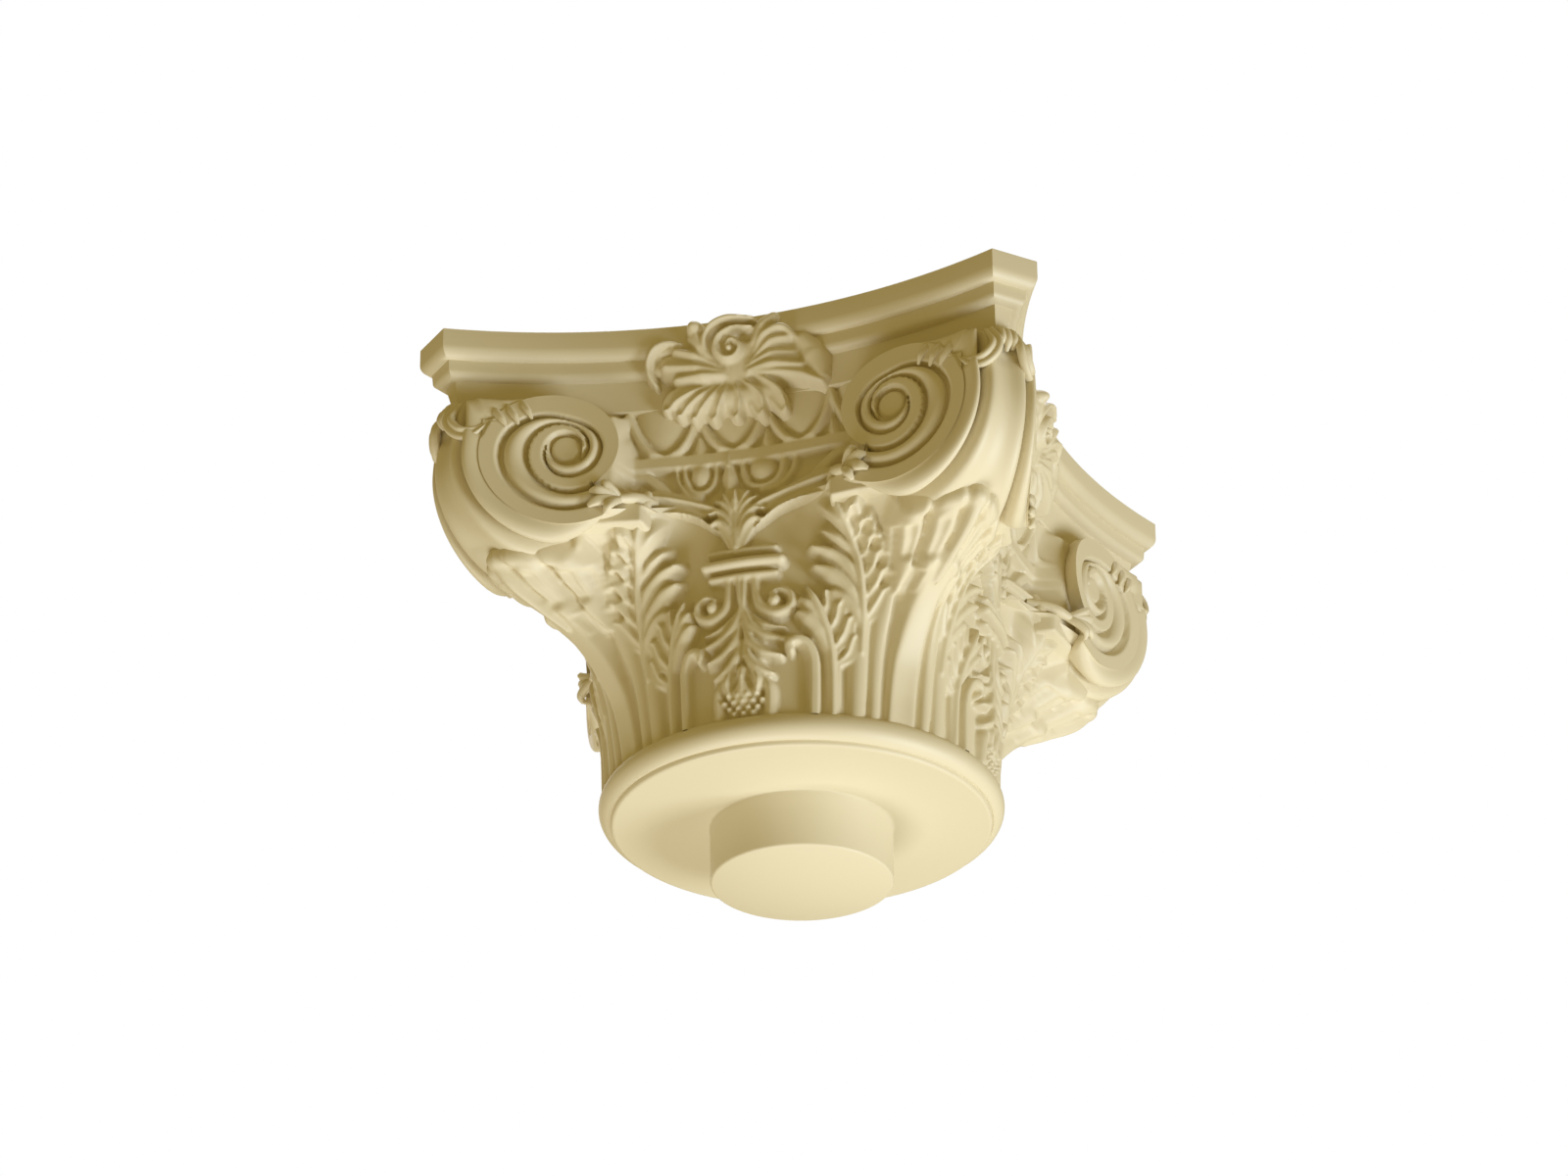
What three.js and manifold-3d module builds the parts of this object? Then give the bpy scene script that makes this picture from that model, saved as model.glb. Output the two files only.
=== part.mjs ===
// Corinthian capital of the Composite variety, cast in one piece.
// Millimetres, +Z up. The origin is the centre of the spigot's end face, on which the capital stands.

import * as THREE from 'three';
import { mergeVertices } from 'three/addons/utils/BufferGeometryUtils.js';
import Module from 'manifold-3d';

const wasm = await Module();
wasm.setup();

// ---- Driving dimensions ----------------------------------------------------------------------

// Spigot and neck
const SPIGOT_RADIUS = 57.5;
const SPIGOT_HEIGHT = 38;
const NECK_DISC_RADIUS = 120;
const NECK_DISC_DROP = 2.3;
const TORUS_RADIUS = 127.7;
const TORUS_THICKNESS = 19.4;
const LEAF_FOOT_RADIUS = 121;
const NECK_SIDES = 36;
const BELL_SIDES = 32;

// Abacus: four hollow sides, each an arc, with the corners cut off square to the diagonals
const ABACUS_HALF_WIDTH = 200;
const ARC_HALF_CHORD = 177;
const ARC_SAGITTA = 39.5;
const ABACUS_TOP = SPIGOT_HEIGHT + 280;
const ABACUS_FOOT = SPIGOT_HEIGHT + 232;
const ARC_RADIUS = (ARC_HALF_CHORD ** 2 + ARC_SAGITTA ** 2) / (2 * ARC_SAGITTA);
const ARC_CENTRE = ABACUS_HALF_WIDTH - ARC_SAGITTA + ARC_RADIUS;
const ARC_STEPS = 6;

// Volutes: the eye is placed along the face and up from the ground
const EYE_OFFSET = 104.5;
const EYE_HEIGHT = SPIGOT_HEIGHT + 197.5;
const VOLUTE_INSET = 4;
const RIBBON_PROUD = 4;
const RIBBON_EDGE = 1;
const VOLUTE_STEPS = 12;
const SPIRAL_TURNS = 1.5;
// Distance from the eye to the spiral's groove and to the inner edge of its ribbon, each quarter turn
const SPIRAL_OUTER = [58, 53, 36, 33, 30, 21.8, 16.2, 13, 10.4, 10, 9.8, 9.6, 9.4];
const SPIRAL_INNER = [47.5, 42.5, 21, 22.5, 20.8, 12, 11.2, 10.6, 10.1];

// Egg band under the abacus
const BAND_FOOT = SPIGOT_HEIGHT + 174;
const EGG_PITCH = 44.5;
const EGG_HALF_WIDTH = 16;
const EGG_TOP = SPIGOT_HEIGHT + 232;
const EGG_FOOT = SPIGOT_HEIGHT + 201;

// Foliage
const LEAF_FOOT = SPIGOT_HEIGHT + 20;
const TIE_HALF_ANGLE = 10.2;
const TIE_FOOT = SPIGOT_HEIGHT + 113;
const TIE_TOP = SPIGOT_HEIGHT + 133;
const ROSETTE_OFFSET = 79;
const ROSETTE_HEIGHT = SPIGOT_HEIGHT + 166;

const FACES = 4;
const CAST_COLOUR = 0xd8cda0;

// ---- Small tools -----------------------------------------------------------------------------

const radians = THREE.MathUtils.degToRad;

/** Straight-line reading of a table of [key, value] rows, in rising keys. */
function readTable(rows, key) {
  const last = rows[rows.length - 1];
  if (key <= rows[0][0]) return rows[0][1];
  if (key >= last[0]) return last[1];
  const next = rows.findIndex((row) => row[0] >= key);
  const [lowKey, lowValue] = rows[next - 1];
  const [highKey, highValue] = rows[next];
  return THREE.MathUtils.mapLinear(key, lowKey, highKey, lowValue, highValue);
}

/** Smooth reading of values given at every quarter turn, as a spiral needs. */
function readQuarters(values, angle) {
  const at = Math.min(angle / 90, values.length - 1);
  const low = Math.floor(at);
  const high = Math.min(low + 1, values.length - 1);
  const blend = THREE.MathUtils.smoothstep(at - low, -0.5, 1.5);
  const share = (blend - 0.15625) / 0.6875;
  return THREE.MathUtils.lerp(values[low], values[high], share);
}

/** Depth of a hollow side at distance along it, for an outline set in by inset. */
function faceDepth(along, inset) {
  return ARC_CENTRE - Math.sqrt((ARC_RADIUS + inset) ** 2 - along ** 2);
}

/** Point on the front face, set in from the abacus outline. */
function onFace(along, inset, height) {
  return new THREE.Vector3(along, -faceDepth(along, inset), height);
}

/** Point round the bell, at an angle in degrees from the middle of the front face. */
function onBell(angle, height, proud) {
  const radius = bellRadius(angle, height) + proud;
  const turn = radians(angle);
  return new THREE.Vector3(radius * Math.sin(turn), -radius * Math.cos(turn), height);
}

/** Closed skin through rings of points, with a fan to the middle of each end ring. */
function loft(rings) {
  const count = rings[0].length;
  const points = rings.flat();
  const faces = [];
  for (let row = 0; row < rings.length - 1; row += 1) {
    for (let i = 0; i < count; i += 1) {
      const a = row * count + i;
      const b = row * count + ((i + 1) % count);
      faces.push([a, b, b + count], [a, b + count, a + count]);
    }
  }
  const ends = [[rings[0], 0, true], [rings[rings.length - 1], (rings.length - 1) * count, false]];
  for (const [ring, start, flipped] of ends) {
    const middle = new THREE.Vector3();
    ring.forEach((point) => middle.add(point));
    points.push(middle.divideScalar(count));
    for (let i = 0; i < count; i += 1) {
      const a = start + i;
      const b = start + ((i + 1) % count);
      faces.push(flipped ? [b, a, points.length - 1] : [a, b, points.length - 1]);
    }
  }
  const geometry = new THREE.BufferGeometry();
  geometry.setFromPoints(points);
  geometry.setIndex(faces.flat());
  return geometry;
}

/** Volume inside a closed indexed mesh, negative if its faces point inwards. */
function signedVolume(positions, indices) {
  const corner = [new THREE.Vector3(), new THREE.Vector3(), new THREE.Vector3()];
  let total = 0;
  for (let i = 0; i < indices.length; i += 3) {
    corner.forEach((point, k) => point.fromArray(positions, indices[i + k] * 3));
    total += corner[0].dot(corner[1].cross(corner[2])) / 6;
  }
  return total;
}

/** Manifold solid from a closed geometry, with its faces turned outwards. */
function toSolid(geometry) {
  const bare = geometry.clone();
  bare.deleteAttribute('normal');
  bare.deleteAttribute('uv');
  const merged = mergeVertices(bare, 1e-3);
  const positions = merged.getAttribute('position').array;
  const source = merged.getIndex().array;
  const indices = [];
  for (let i = 0; i < source.length; i += 3) {
    const [a, b, c] = [source[i], source[i + 1], source[i + 2]];
    if (a !== b && b !== c && c !== a) indices.push(a, b, c);
  }
  if (signedVolume(positions, indices) < 0) indices.reverse();
  const mesh = new wasm.Mesh({
    numProp: 3,
    vertProperties: new Float32Array(positions),
    triVerts: new Uint32Array(indices),
  });
  return new wasm.Manifold(mesh);
}

/** The same solid on every face of the capital. */
function onEveryFace(solid) {
  let all = solid;
  for (let face = 1; face < FACES; face += 1) all = all.add(solid.rotate([0, 0, face * 90]));
  return all;
}

/** A solid and its mirror image across the middle of the front face. */
function withMirror(solid) {
  return solid.add(solid.mirror([1, 0, 0]));
}

/** Ellipse of points across a path: side and out are its two half-axis vectors. */
function ellipseRing(centre, side, out, count) {
  return Array.from({ length: count }, (_, i) => {
    const turn = (2 * Math.PI * i) / count;
    return centre.clone().addScaledVector(side, Math.cos(turn)).addScaledVector(out, Math.sin(turn));
  });
}

// ---- Neck and bell ---------------------------------------------------------------------------

const BELL_AT_FACE = [[50, 120], [100, 121], [140, 122.5], [180, 125], [230, 128]];
const BELL_AT_CORNER = [[50, 120], [100, 127], [140, 145], [180, 182], [210, 212], [230, 212]];

/** Radius of the bell: round at its foot, drawn out towards the four corners at its top. */
function bellRadius(angle, height) {
  const cornerward = (1 - Math.cos(radians(4 * angle))) / 2;
  const atFace = readTable(BELL_AT_FACE, height);
  const atCorner = readTable(BELL_AT_CORNER, height);
  return atFace + (atCorner - atFace) * cornerward ** 1.4;
}

/** Spigot, neck disc and torus, as one turned profile. */
function neckGeometry() {
  const torusHalf = TORUS_THICKNESS / 2;
  const torusCentre = SPIGOT_HEIGHT + NECK_DISC_DROP + torusHalf;
  const profile = [
    new THREE.Vector2(0, 0),
    new THREE.Vector2(SPIGOT_RADIUS - 1, 0),
    new THREE.Vector2(SPIGOT_RADIUS, 1),
    new THREE.Vector2(SPIGOT_RADIUS, SPIGOT_HEIGHT),
    new THREE.Vector2(NECK_DISC_RADIUS, SPIGOT_HEIGHT),
    new THREE.Vector2(NECK_DISC_RADIUS, SPIGOT_HEIGHT + NECK_DISC_DROP),
  ];
  for (let turn = -75; turn <= 75; turn += 30) {
    const radius = TORUS_RADIUS - torusHalf + torusHalf * Math.cos(radians(turn));
    profile.push(new THREE.Vector2(radius, torusCentre + torusHalf * Math.sin(radians(turn))));
  }
  profile.push(new THREE.Vector2(0, SPIGOT_HEIGHT + NECK_DISC_DROP + TORUS_THICKNESS + 2));
  return new THREE.LatheGeometry(profile, NECK_SIDES).rotateX(Math.PI / 2);
}

/** Bell behind the leaves, from inside the torus up into the abacus. */
function bellGeometry() {
  const heights = [50, 100, 140, 180, 210, 230];
  const rings = heights.map((height) => (
    Array.from({ length: BELL_SIDES }, (_, i) => onBell((i * 360) / BELL_SIDES, height, 0))
  ));
  return loft(rings);
}

// ---- Abacus and egg band ---------------------------------------------------------------------

/** Outline with four hollow sides and cut corners, set in all round, at one height. */
function hollowSquare(inset, height) {
  const chamfer = ABACUS_HALF_WIDTH + ARC_HALF_CHORD - inset * Math.SQRT2;
  const lean = chamfer - ARC_CENTRE;
  const half = (lean + Math.sqrt(2 * (ARC_RADIUS + inset) ** 2 - lean ** 2)) / 2;
  const ring = [];
  for (let face = 0; face < FACES; face += 1) {
    for (let step = 0; step <= ARC_STEPS; step += 1) {
      const point = onFace(half * ((2 * step) / ARC_STEPS - 1), inset, height);
      ring.push(point.applyAxisAngle(new THREE.Vector3(0, 0, 1), radians(90 * face)));
    }
  }
  return ring;
}

/** Abacus mouldings from the neck up: hollow neck, quarter round, fillet, quarter round, fascia. */
function abacusGeometry() {
  const levels = [
    [18.5, ABACUS_FOOT],
    [16.2, ABACUS_TOP - 38],
    [14, ABACUS_TOP - 29.5],
    [12.5, ABACUS_TOP - 29.5],
    [8.5, ABACUS_TOP - 28.5],
    [7, ABACUS_TOP - 25.5],
    [6.5, ABACUS_TOP - 19],
    [5, ABACUS_TOP - 19],
    [1.5, ABACUS_TOP - 16.5],
    [0, ABACUS_TOP - 12],
    [0, ABACUS_TOP],
  ];
  return loft(levels.map(([inset, height]) => hollowSquare(inset, height)));
}

/** Band under the abacus: lower row, plain fillet and the ovolo behind the eggs. */
function bandGeometry() {
  const levels = [
    [36, BAND_FOOT],
    [32, BAND_FOOT + 19],
    [26, BAND_FOOT + 19],
    [26, BAND_FOOT + 28],
    [20, ABACUS_FOOT + 1],
  ];
  return loft(levels.map(([inset, height]) => hollowSquare(inset, height)));
}

/** Pointed egg hanging on the ovolo at a distance along the face. */
function eggGeometry(along) {
  const rows = [[0, 0.85], [0.4, 1], [0.92, 0.3]];
  const rings = rows.map(([drop, swell]) => {
    const height = THREE.MathUtils.lerp(EGG_TOP, EGG_FOOT, drop);
    const inset = THREE.MathUtils.lerp(21, 28, drop);
    const side = new THREE.Vector3(EGG_HALF_WIDTH * swell, 0, 0);
    const out = new THREE.Vector3(0, -11 * swell, 0);
    return ellipseRing(onFace(along, inset, height), side, out, 6);
  });
  return loft(rings);
}

/** Small round egg of the lower row. */
function smallEggGeometry(along) {
  const rows = [-6.5, 0, 6.5];
  const rings = rows.map((rise) => {
    const swell = Math.sqrt(1 - (rise / 8) ** 2);
    const centre = onFace(along, 33, BAND_FOOT + 9 + rise);
    return ellipseRing(centre, new THREE.Vector3(7.5 * swell, 0, 0), new THREE.Vector3(0, -7 * swell, 0), 6);
  });
  return loft(rings);
}

// ---- Volutes ---------------------------------------------------------------------------------

/** Point of a right-hand volute's face; angle 0 is straight down and 90 is towards the corner. */
function onVolute(angle, reach, proud) {
  const along = EYE_OFFSET + reach * Math.sin(radians(angle));
  const height = EYE_HEIGHT - reach * Math.cos(radians(angle));
  return onFace(along, VOLUTE_INSET - proud, height);
}

/** Section of the spiral at one step: [angle, reach, proud] from its groove in to the next turn's. */
function spiralSection(step) {
  const angle = (step * 360) / VOLUTE_STEPS;
  const outer = readQuarters(SPIRAL_OUTER, angle);
  const inner = readQuarters(SPIRAL_INNER, angle);
  const nextOuter = readQuarters(SPIRAL_OUTER, angle + 360);
  return [
    [angle, outer, 0],
    [angle, outer - RIBBON_EDGE, RIBBON_PROUD],
    [angle, inner + RIBBON_EDGE, RIBBON_PROUD],
    [angle, inner, 1],
    [angle, nextOuter, 0],
  ];
}

/** Closed loop inside which the spiral still has to run: one turn of its groove, then its section. */
function spiralLoop(firstStep) {
  const turn = Array.from({ length: VOLUTE_STEPS + 1 }, (_, i) => spiralSection(firstStep + i)[0]);
  const close = spiralSection(firstStep).slice(1, 4).reverse();
  return [...turn, ...close];
}

/** Mirror image across the diagonal of the front right corner. */
function acrossCorner(point) {
  return new THREE.Vector3(-point.y, -point.x, point.z);
}

/** Point on the bolster that joins two volutes, at a share of its half width from the diagonal. */
function onBolster([angle, reach], share, swell) {
  const edge = onVolute(angle, reach, 0);
  const outwards = new THREE.Vector3(Math.sin(radians(angle)), -Math.sin(radians(angle)), 0);
  outwards.multiplyScalar(Math.SQRT1_2).setZ(-Math.cos(radians(angle)));
  const middle = edge.clone().add(acrossCorner(edge)).multiplyScalar(0.5);
  const facing = THREE.MathUtils.smoothstep(Math.cos(radians(angle - 70)), -0.2, 0.6);
  return middle.lerp(edge, share).addScaledVector(outwards, swell * facing);
}

/** Triangles of the skin between neighbouring rows of points, as a flat list of corners. */
function skin(rows) {
  const corners = [];
  for (let row = 0; row < rows.length - 1; row += 1) {
    for (let i = 0; i < rows[row].length - 1; i += 1) {
      const [a, b] = [rows[row][i], rows[row][i + 1]];
      const [d, c] = [rows[row + 1][i], rows[row + 1][i + 1]];
      corners.push(a, b, c, a, c, d);
    }
  }
  return corners;
}

/** Face of a right-hand volute: turns of ribbon and channel, and a fan over the eye. */
function voluteFaceCorners() {
  const steps = VOLUTE_STEPS * SPIRAL_TURNS;
  const sections = Array.from({ length: steps + 1 }, (_, i) => spiralSection(i));
  const strips = skin(sections.map((section) => section.map((point) => onVolute(...point))));
  const eye = spiralLoop(steps).map((point) => onVolute(...point));
  const middle = onVolute(0, 0, RIBBON_PROUD);
  const fan = eye.flatMap((point, i) => [eye[(i + 1) % eye.length], point, middle]);
  return [...strips, ...fan];
}

/** Two volutes and the bolster between them, round the front right corner. */
function cornerScrollGeometry() {
  const outline = spiralLoop(0);
  outline.push(outline[0]);
  const across = [[1, 0], [0.84, 9], [0.62, 4], [0.42, 10]];
  const near = across.map(([share, swell]) => outline.map((point) => onBolster(point, share, swell)));
  near[0] = outline.map((point) => onVolute(...point));
  const crown = outline.map((point) => onBolster(point, 0, 12));
  const far = [...near].reverse().map((ring) => ring.map(acrossCorner));
  const face = voluteFaceCorners();
  const otherFace = face.map(acrossCorner).reverse();
  const corners = [...face, ...skin([...near, crown, ...far]), ...otherFace];
  return new THREE.BufferGeometry().setFromPoints(corners);
}

// ---- Foliage ---------------------------------------------------------------------------------

/** Point on the corner diagonal, by distance from the axis, offset across it and height. */
function onDiagonal(distance, across, height) {
  const x = (distance - across) * Math.SQRT1_2;
  const y = -(distance + across) * Math.SQRT1_2;
  return new THREE.Vector3(x, y, height);
}

/** Corner leaf: it climbs the bell, swings out and curls up under the bolster. */
function cornerLeafGeometry() {
  const stations = [
    [118, LEAF_FOOT, 15, 7, 0],
    [127, 80, 17, 7, 20],
    [139, 104, 21, 9, 32],
    [155, 124, 27, 11, 45],
    [174, 140, 31, 13, 60],
    [190, 153, 29, 15, 80],
    [201, 165, 25, 14, 105],
    [197.5, 179, 18, 12, 130],
  ];
  const rings = stations.map(([distance, height, half, thick, lean]) => {
    const outDistance = thick * Math.cos(radians(lean));
    const outHeight = -thick * Math.sin(radians(lean));
    const centre = onDiagonal(distance, 0, height);
    const out = onDiagonal(distance + outDistance, 0, height + outHeight).sub(centre);
    const side = onDiagonal(distance, half, height).sub(centre);
    return ellipseRing(centre, side, out, 6);
  });
  return loft(rings);
}

/** Serrated frond beside the corner leaf: the lobes come and go along its stem. */
function frondGeometry() {
  const count = 7;
  const rings = Array.from({ length: count + 1 }, (_, i) => {
    const rise = i / count;
    const angle = THREE.MathUtils.lerp(35, 27.5, rise ** 1.3);
    const height = THREE.MathUtils.lerp(LEAF_FOOT, SPIGOT_HEIGHT + 163, rise);
    const lobe = rise > 0.35 && i % 2 === 1 ? 1 : 0;
    const half = readTable([[0, 3.2], [0.4, 5], [0.7, 7.5], [0.95, 6], [1, 2]], rise) + lobe * 4.5;
    const halfAngle = THREE.MathUtils.radToDeg(half / bellRadius(angle, height));
    return [
      onBell(angle - halfAngle, height, -2),
      onBell(angle - halfAngle * 0.4, height, 7),
      onBell(angle + halfAngle * 0.4, height, 7),
      onBell(angle + halfAngle, height, -2),
    ];
  });
  return loft(rings);
}

/** Tie across the middle of a face, three reeds high. */
function tieGeometry() {
  const rows = [[TIE_FOOT, 4], [TIE_FOOT + 3, 8], [TIE_TOP - 3, 8], [TIE_TOP, 4]];
  const angles = [-TIE_HALF_ANGLE, 0, TIE_HALF_ANGLE];
  const rings = rows.map(([height, proud]) => [
    ...angles.map((angle) => onBell(angle, height, proud)),
    onBell(TIE_HALF_ANGLE, height, -4),
    onBell(-TIE_HALF_ANGLE, height, -4),
  ]);
  return loft(rings);
}

/** Pendant husk and bud below the tie, tier by tier. */
function pendantGeometry() {
  const tiers = [
    [24, 15, 5], [50, 13, 9], [62, 10, 7], [84, 25, 7], [94, 9, 6], [106, 27, 7], [118, 7, 5],
  ];
  const rings = tiers.map(([rise, half, proud]) => {
    const height = LEAF_FOOT - 24 + rise;
    const halfAngle = THREE.MathUtils.radToDeg(half / LEAF_FOOT_RADIUS) * 0.8;
    return [
      onBell(-halfAngle, height, -3),
      onBell(-halfAngle * 0.8, height, proud * 0.6),
      onBell(0, height, proud + 1),
      onBell(halfAngle * 0.8, height, proud * 0.6),
      onBell(halfAngle, height, -3),
    ];
  });
  return loft(rings);
}

/** Ribbed stalk that arches from the tie to the rosette beside the volute. */
function stalkGeometry() {
  const count = 4;
  const rings = Array.from({ length: count + 1 }, (_, i) => {
    const share = i / count;
    const along = THREE.MathUtils.lerp(4, ROSETTE_OFFSET, share);
    const height = THREE.MathUtils.lerp(TIE_TOP - 2, ROSETTE_HEIGHT + 2, Math.sqrt(share));
    const half = THREE.MathUtils.lerp(4, 6.5, share);
    return [
      onFace(along, 46, height - half - 3),
      onFace(along, 29, height - half),
      onFace(along, 25, height),
      onFace(along, 28, height + half),
      onFace(along, 46, height + half + 12),
    ];
  });
  return loft(rings);
}

/** Rosette where the stalk meets the volute. */
function rosetteGeometry() {
  const rows = [[-16, 1], [6, 0.8]];
  return loft(rows.map(([proud, share]) => Array.from({ length: 6 }, (_, i) => {
    const turn = radians(i * 60);
    const reach = 13 * share * (i % 2 ? 0.78 : 1);
    const along = ROSETTE_OFFSET + reach * Math.cos(turn);
    return onFace(along, 18 - proud, ROSETTE_HEIGHT + reach * Math.sin(turn));
  })));
}

/** Leafy spray over the middle of the abacus, with its tongues hanging over the eggs. */
function fleuronGeometry() {
  const middle = SPIGOT_HEIGHT + 248;
  const rows = [[-14, 0.9], [9, 1], [22, 0.55]];
  const count = 14;
  return loft(rows.map(([proud, share]) => Array.from({ length: count }, (_, i) => {
    const turn = (2 * Math.PI * i) / count;
    const lobed = share * (i % 2 ? 0.92 : 1.04);
    const rise = 27 * Math.sin(turn) * lobed;
    return onFace(55 * Math.cos(turn) * lobed, 16 - proud, middle + rise);
  })));
}

/** Lobe of the leaf that hangs over the bolster, under the corner of the abacus. */
function cornerLobeGeometry() {
  const stations = [[232, 34, 14, 10], [246, 22, 16, 11], [256, 12, 13, 9], [259, 2, 7, 6]];
  const rings = stations.map(([distance, rise, half, thick]) => {
    const height = SPIGOT_HEIGHT + 203 + rise;
    const centre = onDiagonal(distance - thick, 0, height);
    const out = onDiagonal(distance, 0, height).sub(centre);
    const side = onDiagonal(distance - thick, half, height).sub(centre);
    return ellipseRing(centre, side, out, 6);
  });
  return loft(rings);
}

// ---- The casting -----------------------------------------------------------------------------

/** Everything that repeats on each face, made once for the front. */
function faceSolids() {
  const eggs = [-1, 0, 1].map((place) => toSolid(eggGeometry(place * EGG_PITCH)));
  const smallEggs = [-0.5, 0.5].map((place) => toSolid(smallEggGeometry(place * 42)));
  const middle = [tieGeometry(), pendantGeometry(), fleuronGeometry()].map(toSolid);
  const handed = [frondGeometry(), stalkGeometry(), rosetteGeometry()]
    .map((geometry) => withMirror(toSolid(geometry)));
  const corner = [cornerScrollGeometry(), cornerLeafGeometry(), cornerLobeGeometry()].map(toSolid);
  return [...eggs, ...smallEggs, ...middle, ...handed, ...corner];
}

/** The whole capital as one solid. */
function capitalSolid() {
  let solid = [neckGeometry(), bellGeometry(), abacusGeometry(), bandGeometry()]
    .map(toSolid).reduce((all, piece) => all.add(piece));
  for (const piece of faceSolids()) solid = solid.add(onEveryFace(piece));
  return solid;
}

/** Geometry with flat facets from a manifold solid. */
function toGeometry(solid) {
  const { vertProperties, triVerts } = solid.getMesh();
  const geometry = new THREE.BufferGeometry();
  geometry.setAttribute('position', new THREE.BufferAttribute(vertProperties, 3));
  geometry.setIndex(new THREE.BufferAttribute(triVerts, 1));
  geometry.computeVertexNormals();
  return geometry;
}

/** The capital's mesh, in cast plaster of a warm cream. */
function capitalMesh() {
  const material = new THREE.MeshStandardMaterial({ color: CAST_COLOUR, roughness: 0.85, metalness: 0 });
  const mesh = new THREE.Mesh(toGeometry(capitalSolid()), material);
  mesh.name = 'capital';
  return mesh;
}

const part = new THREE.Group();
part.add(capitalMesh());

export default part;
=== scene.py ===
"""Looks of a cast plaster capital with scrolls at its corners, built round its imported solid.

Sizes are in millimetres, as on the drawing board, and become metres when a mesh is made.
Z is up and the capital stands on the pin under its neck, so its front faces -Y.
"""

import logging
import math
from dataclasses import dataclass, field
from enum import Enum

import bpy
import numpy as np
from mathutils import Matrix, Vector


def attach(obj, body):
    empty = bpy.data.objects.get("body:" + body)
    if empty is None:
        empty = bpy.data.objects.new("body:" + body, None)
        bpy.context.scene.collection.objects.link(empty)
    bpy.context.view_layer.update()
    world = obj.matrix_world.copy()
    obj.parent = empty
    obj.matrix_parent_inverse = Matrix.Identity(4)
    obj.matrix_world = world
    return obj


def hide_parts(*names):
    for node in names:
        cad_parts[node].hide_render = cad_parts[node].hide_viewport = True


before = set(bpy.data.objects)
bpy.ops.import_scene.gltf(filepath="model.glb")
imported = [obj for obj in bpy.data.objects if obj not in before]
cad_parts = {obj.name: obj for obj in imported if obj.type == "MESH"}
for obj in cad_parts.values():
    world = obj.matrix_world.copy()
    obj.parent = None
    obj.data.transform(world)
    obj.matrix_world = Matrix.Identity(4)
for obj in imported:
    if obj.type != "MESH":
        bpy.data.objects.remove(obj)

LOG = logging.getLogger("capital")
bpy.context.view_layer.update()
NODE = "capital"
BODY = "root"
SLOT = "cast_plaster"
MM = 0.001
# Default hollowness, that is painted shade, of plain and swept pieces; the material shows painted shade only
# above 0.3, so these give none.
PLAIN_HOLLOW = 0.3
SWEPT_HOLLOW = 0.25
SIDES = 4
QUARTER_TURN = np.array([[0, 1, 0], [-1, 0, 0], [0, 0, 1]])
Array = np.ndarray
Pairs = list[tuple[float, ...]]


# ---- Curves and surfaces -------------------------------------------------------------------


def spline(points: Array | Pairs, count: int | Array) -> Array:
    """Smooth curve through control points: on each span, the Catmull-Rom cubic of its four neighbours.

    Args:
        points: Control points, one row each.
        count: How many points the curve is given, or the places wanted, counted in control points.

    Returns:
        The curve, one row for each point.
    """
    knots = np.asarray(points, float)
    spans = len(knots) - 1
    padded = np.vstack([2 * knots[0] - knots[1], knots, 2 * knots[-1] - knots[-2]])
    place = np.linspace(0, spans, count) if isinstance(count, int) else count
    span = np.clip(place.astype(int), 0, spans - 1)
    part = (place - span)[:, None]
    before, start, end, after = (padded[span + step] for step in range(4))
    return 0.5 * (
        2 * start
        + (end - before) * part
        + (2 * before - 5 * start + 4 * end - after) * part**2
        + (3 * start - before - 3 * end + after) * part**3
    )


def along(values: tuple[float, ...] | list[float], share: Array) -> Array:
    """Values spread evenly over a path, read at shares of its length between 0 and 1."""
    return np.interp(share, np.linspace(0, 1, len(values)), values)


def smoothstep(low: float, high: float, value: Array) -> Array:
    """Zero below low, one above high, and the cubic 3s^2 - 2s^3 between them."""
    share = np.clip((value - low) / (high - low), 0, 1)
    return share * share * (3 - 2 * share)


def soften(height: Array, passes: int) -> Array:
    """Averages each value with its neighbours, 1-2-1 along both directions, as many times as asked."""
    for _ in range(passes):
        padded = np.pad(height, 1, mode="edge")
        rows = (padded[:-2] + 2 * padded[1:-1] + padded[2:]) / 4
        height = (rows[:, :-2] + 2 * rows[:, 1:-1] + rows[:, 2:]) / 4
    return height


def hollowness(height: Array, reach: int = 10, depth: float = 2.6) -> Array:
    """How far each place lies below the average of its surroundings, from 0 on a crest to 1 in a groove."""
    return np.clip(0.5 + (soften(height, reach) - height) / (2 * depth), 0, 1)


class Crown(Enum):
    """Section of a carved stroke, from its middle at 0 to its edge at 1."""

    ROUND = "round"
    PLATE = "plate"
    RIDGE = "ridge"
    HOLLOW = "hollow"

    def shape(self, reach: Array) -> Array:
        """Height across the stroke as a share of its crest.

        Round is a half circle, a plate is flat with a soft edge, a ridge falls evenly to a steep edge
        and a hollow dips between two raised edges.

        Args:
            reach: Distance from the middle as a share of the half width.

        Returns:
            Share of the crest's height.
        """
        edge = np.sqrt(np.clip(1 - reach**6, 0, 1))
        if self is Crown.ROUND:
            return np.sqrt(np.clip(1 - reach**2, 0, 1))
        if self is Crown.PLATE:
            return edge
        if self is Crown.RIDGE:
            return edge * (0.6 + 0.4 * (1 - reach))
        return edge * (0.62 + 0.38 * reach**2)


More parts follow.
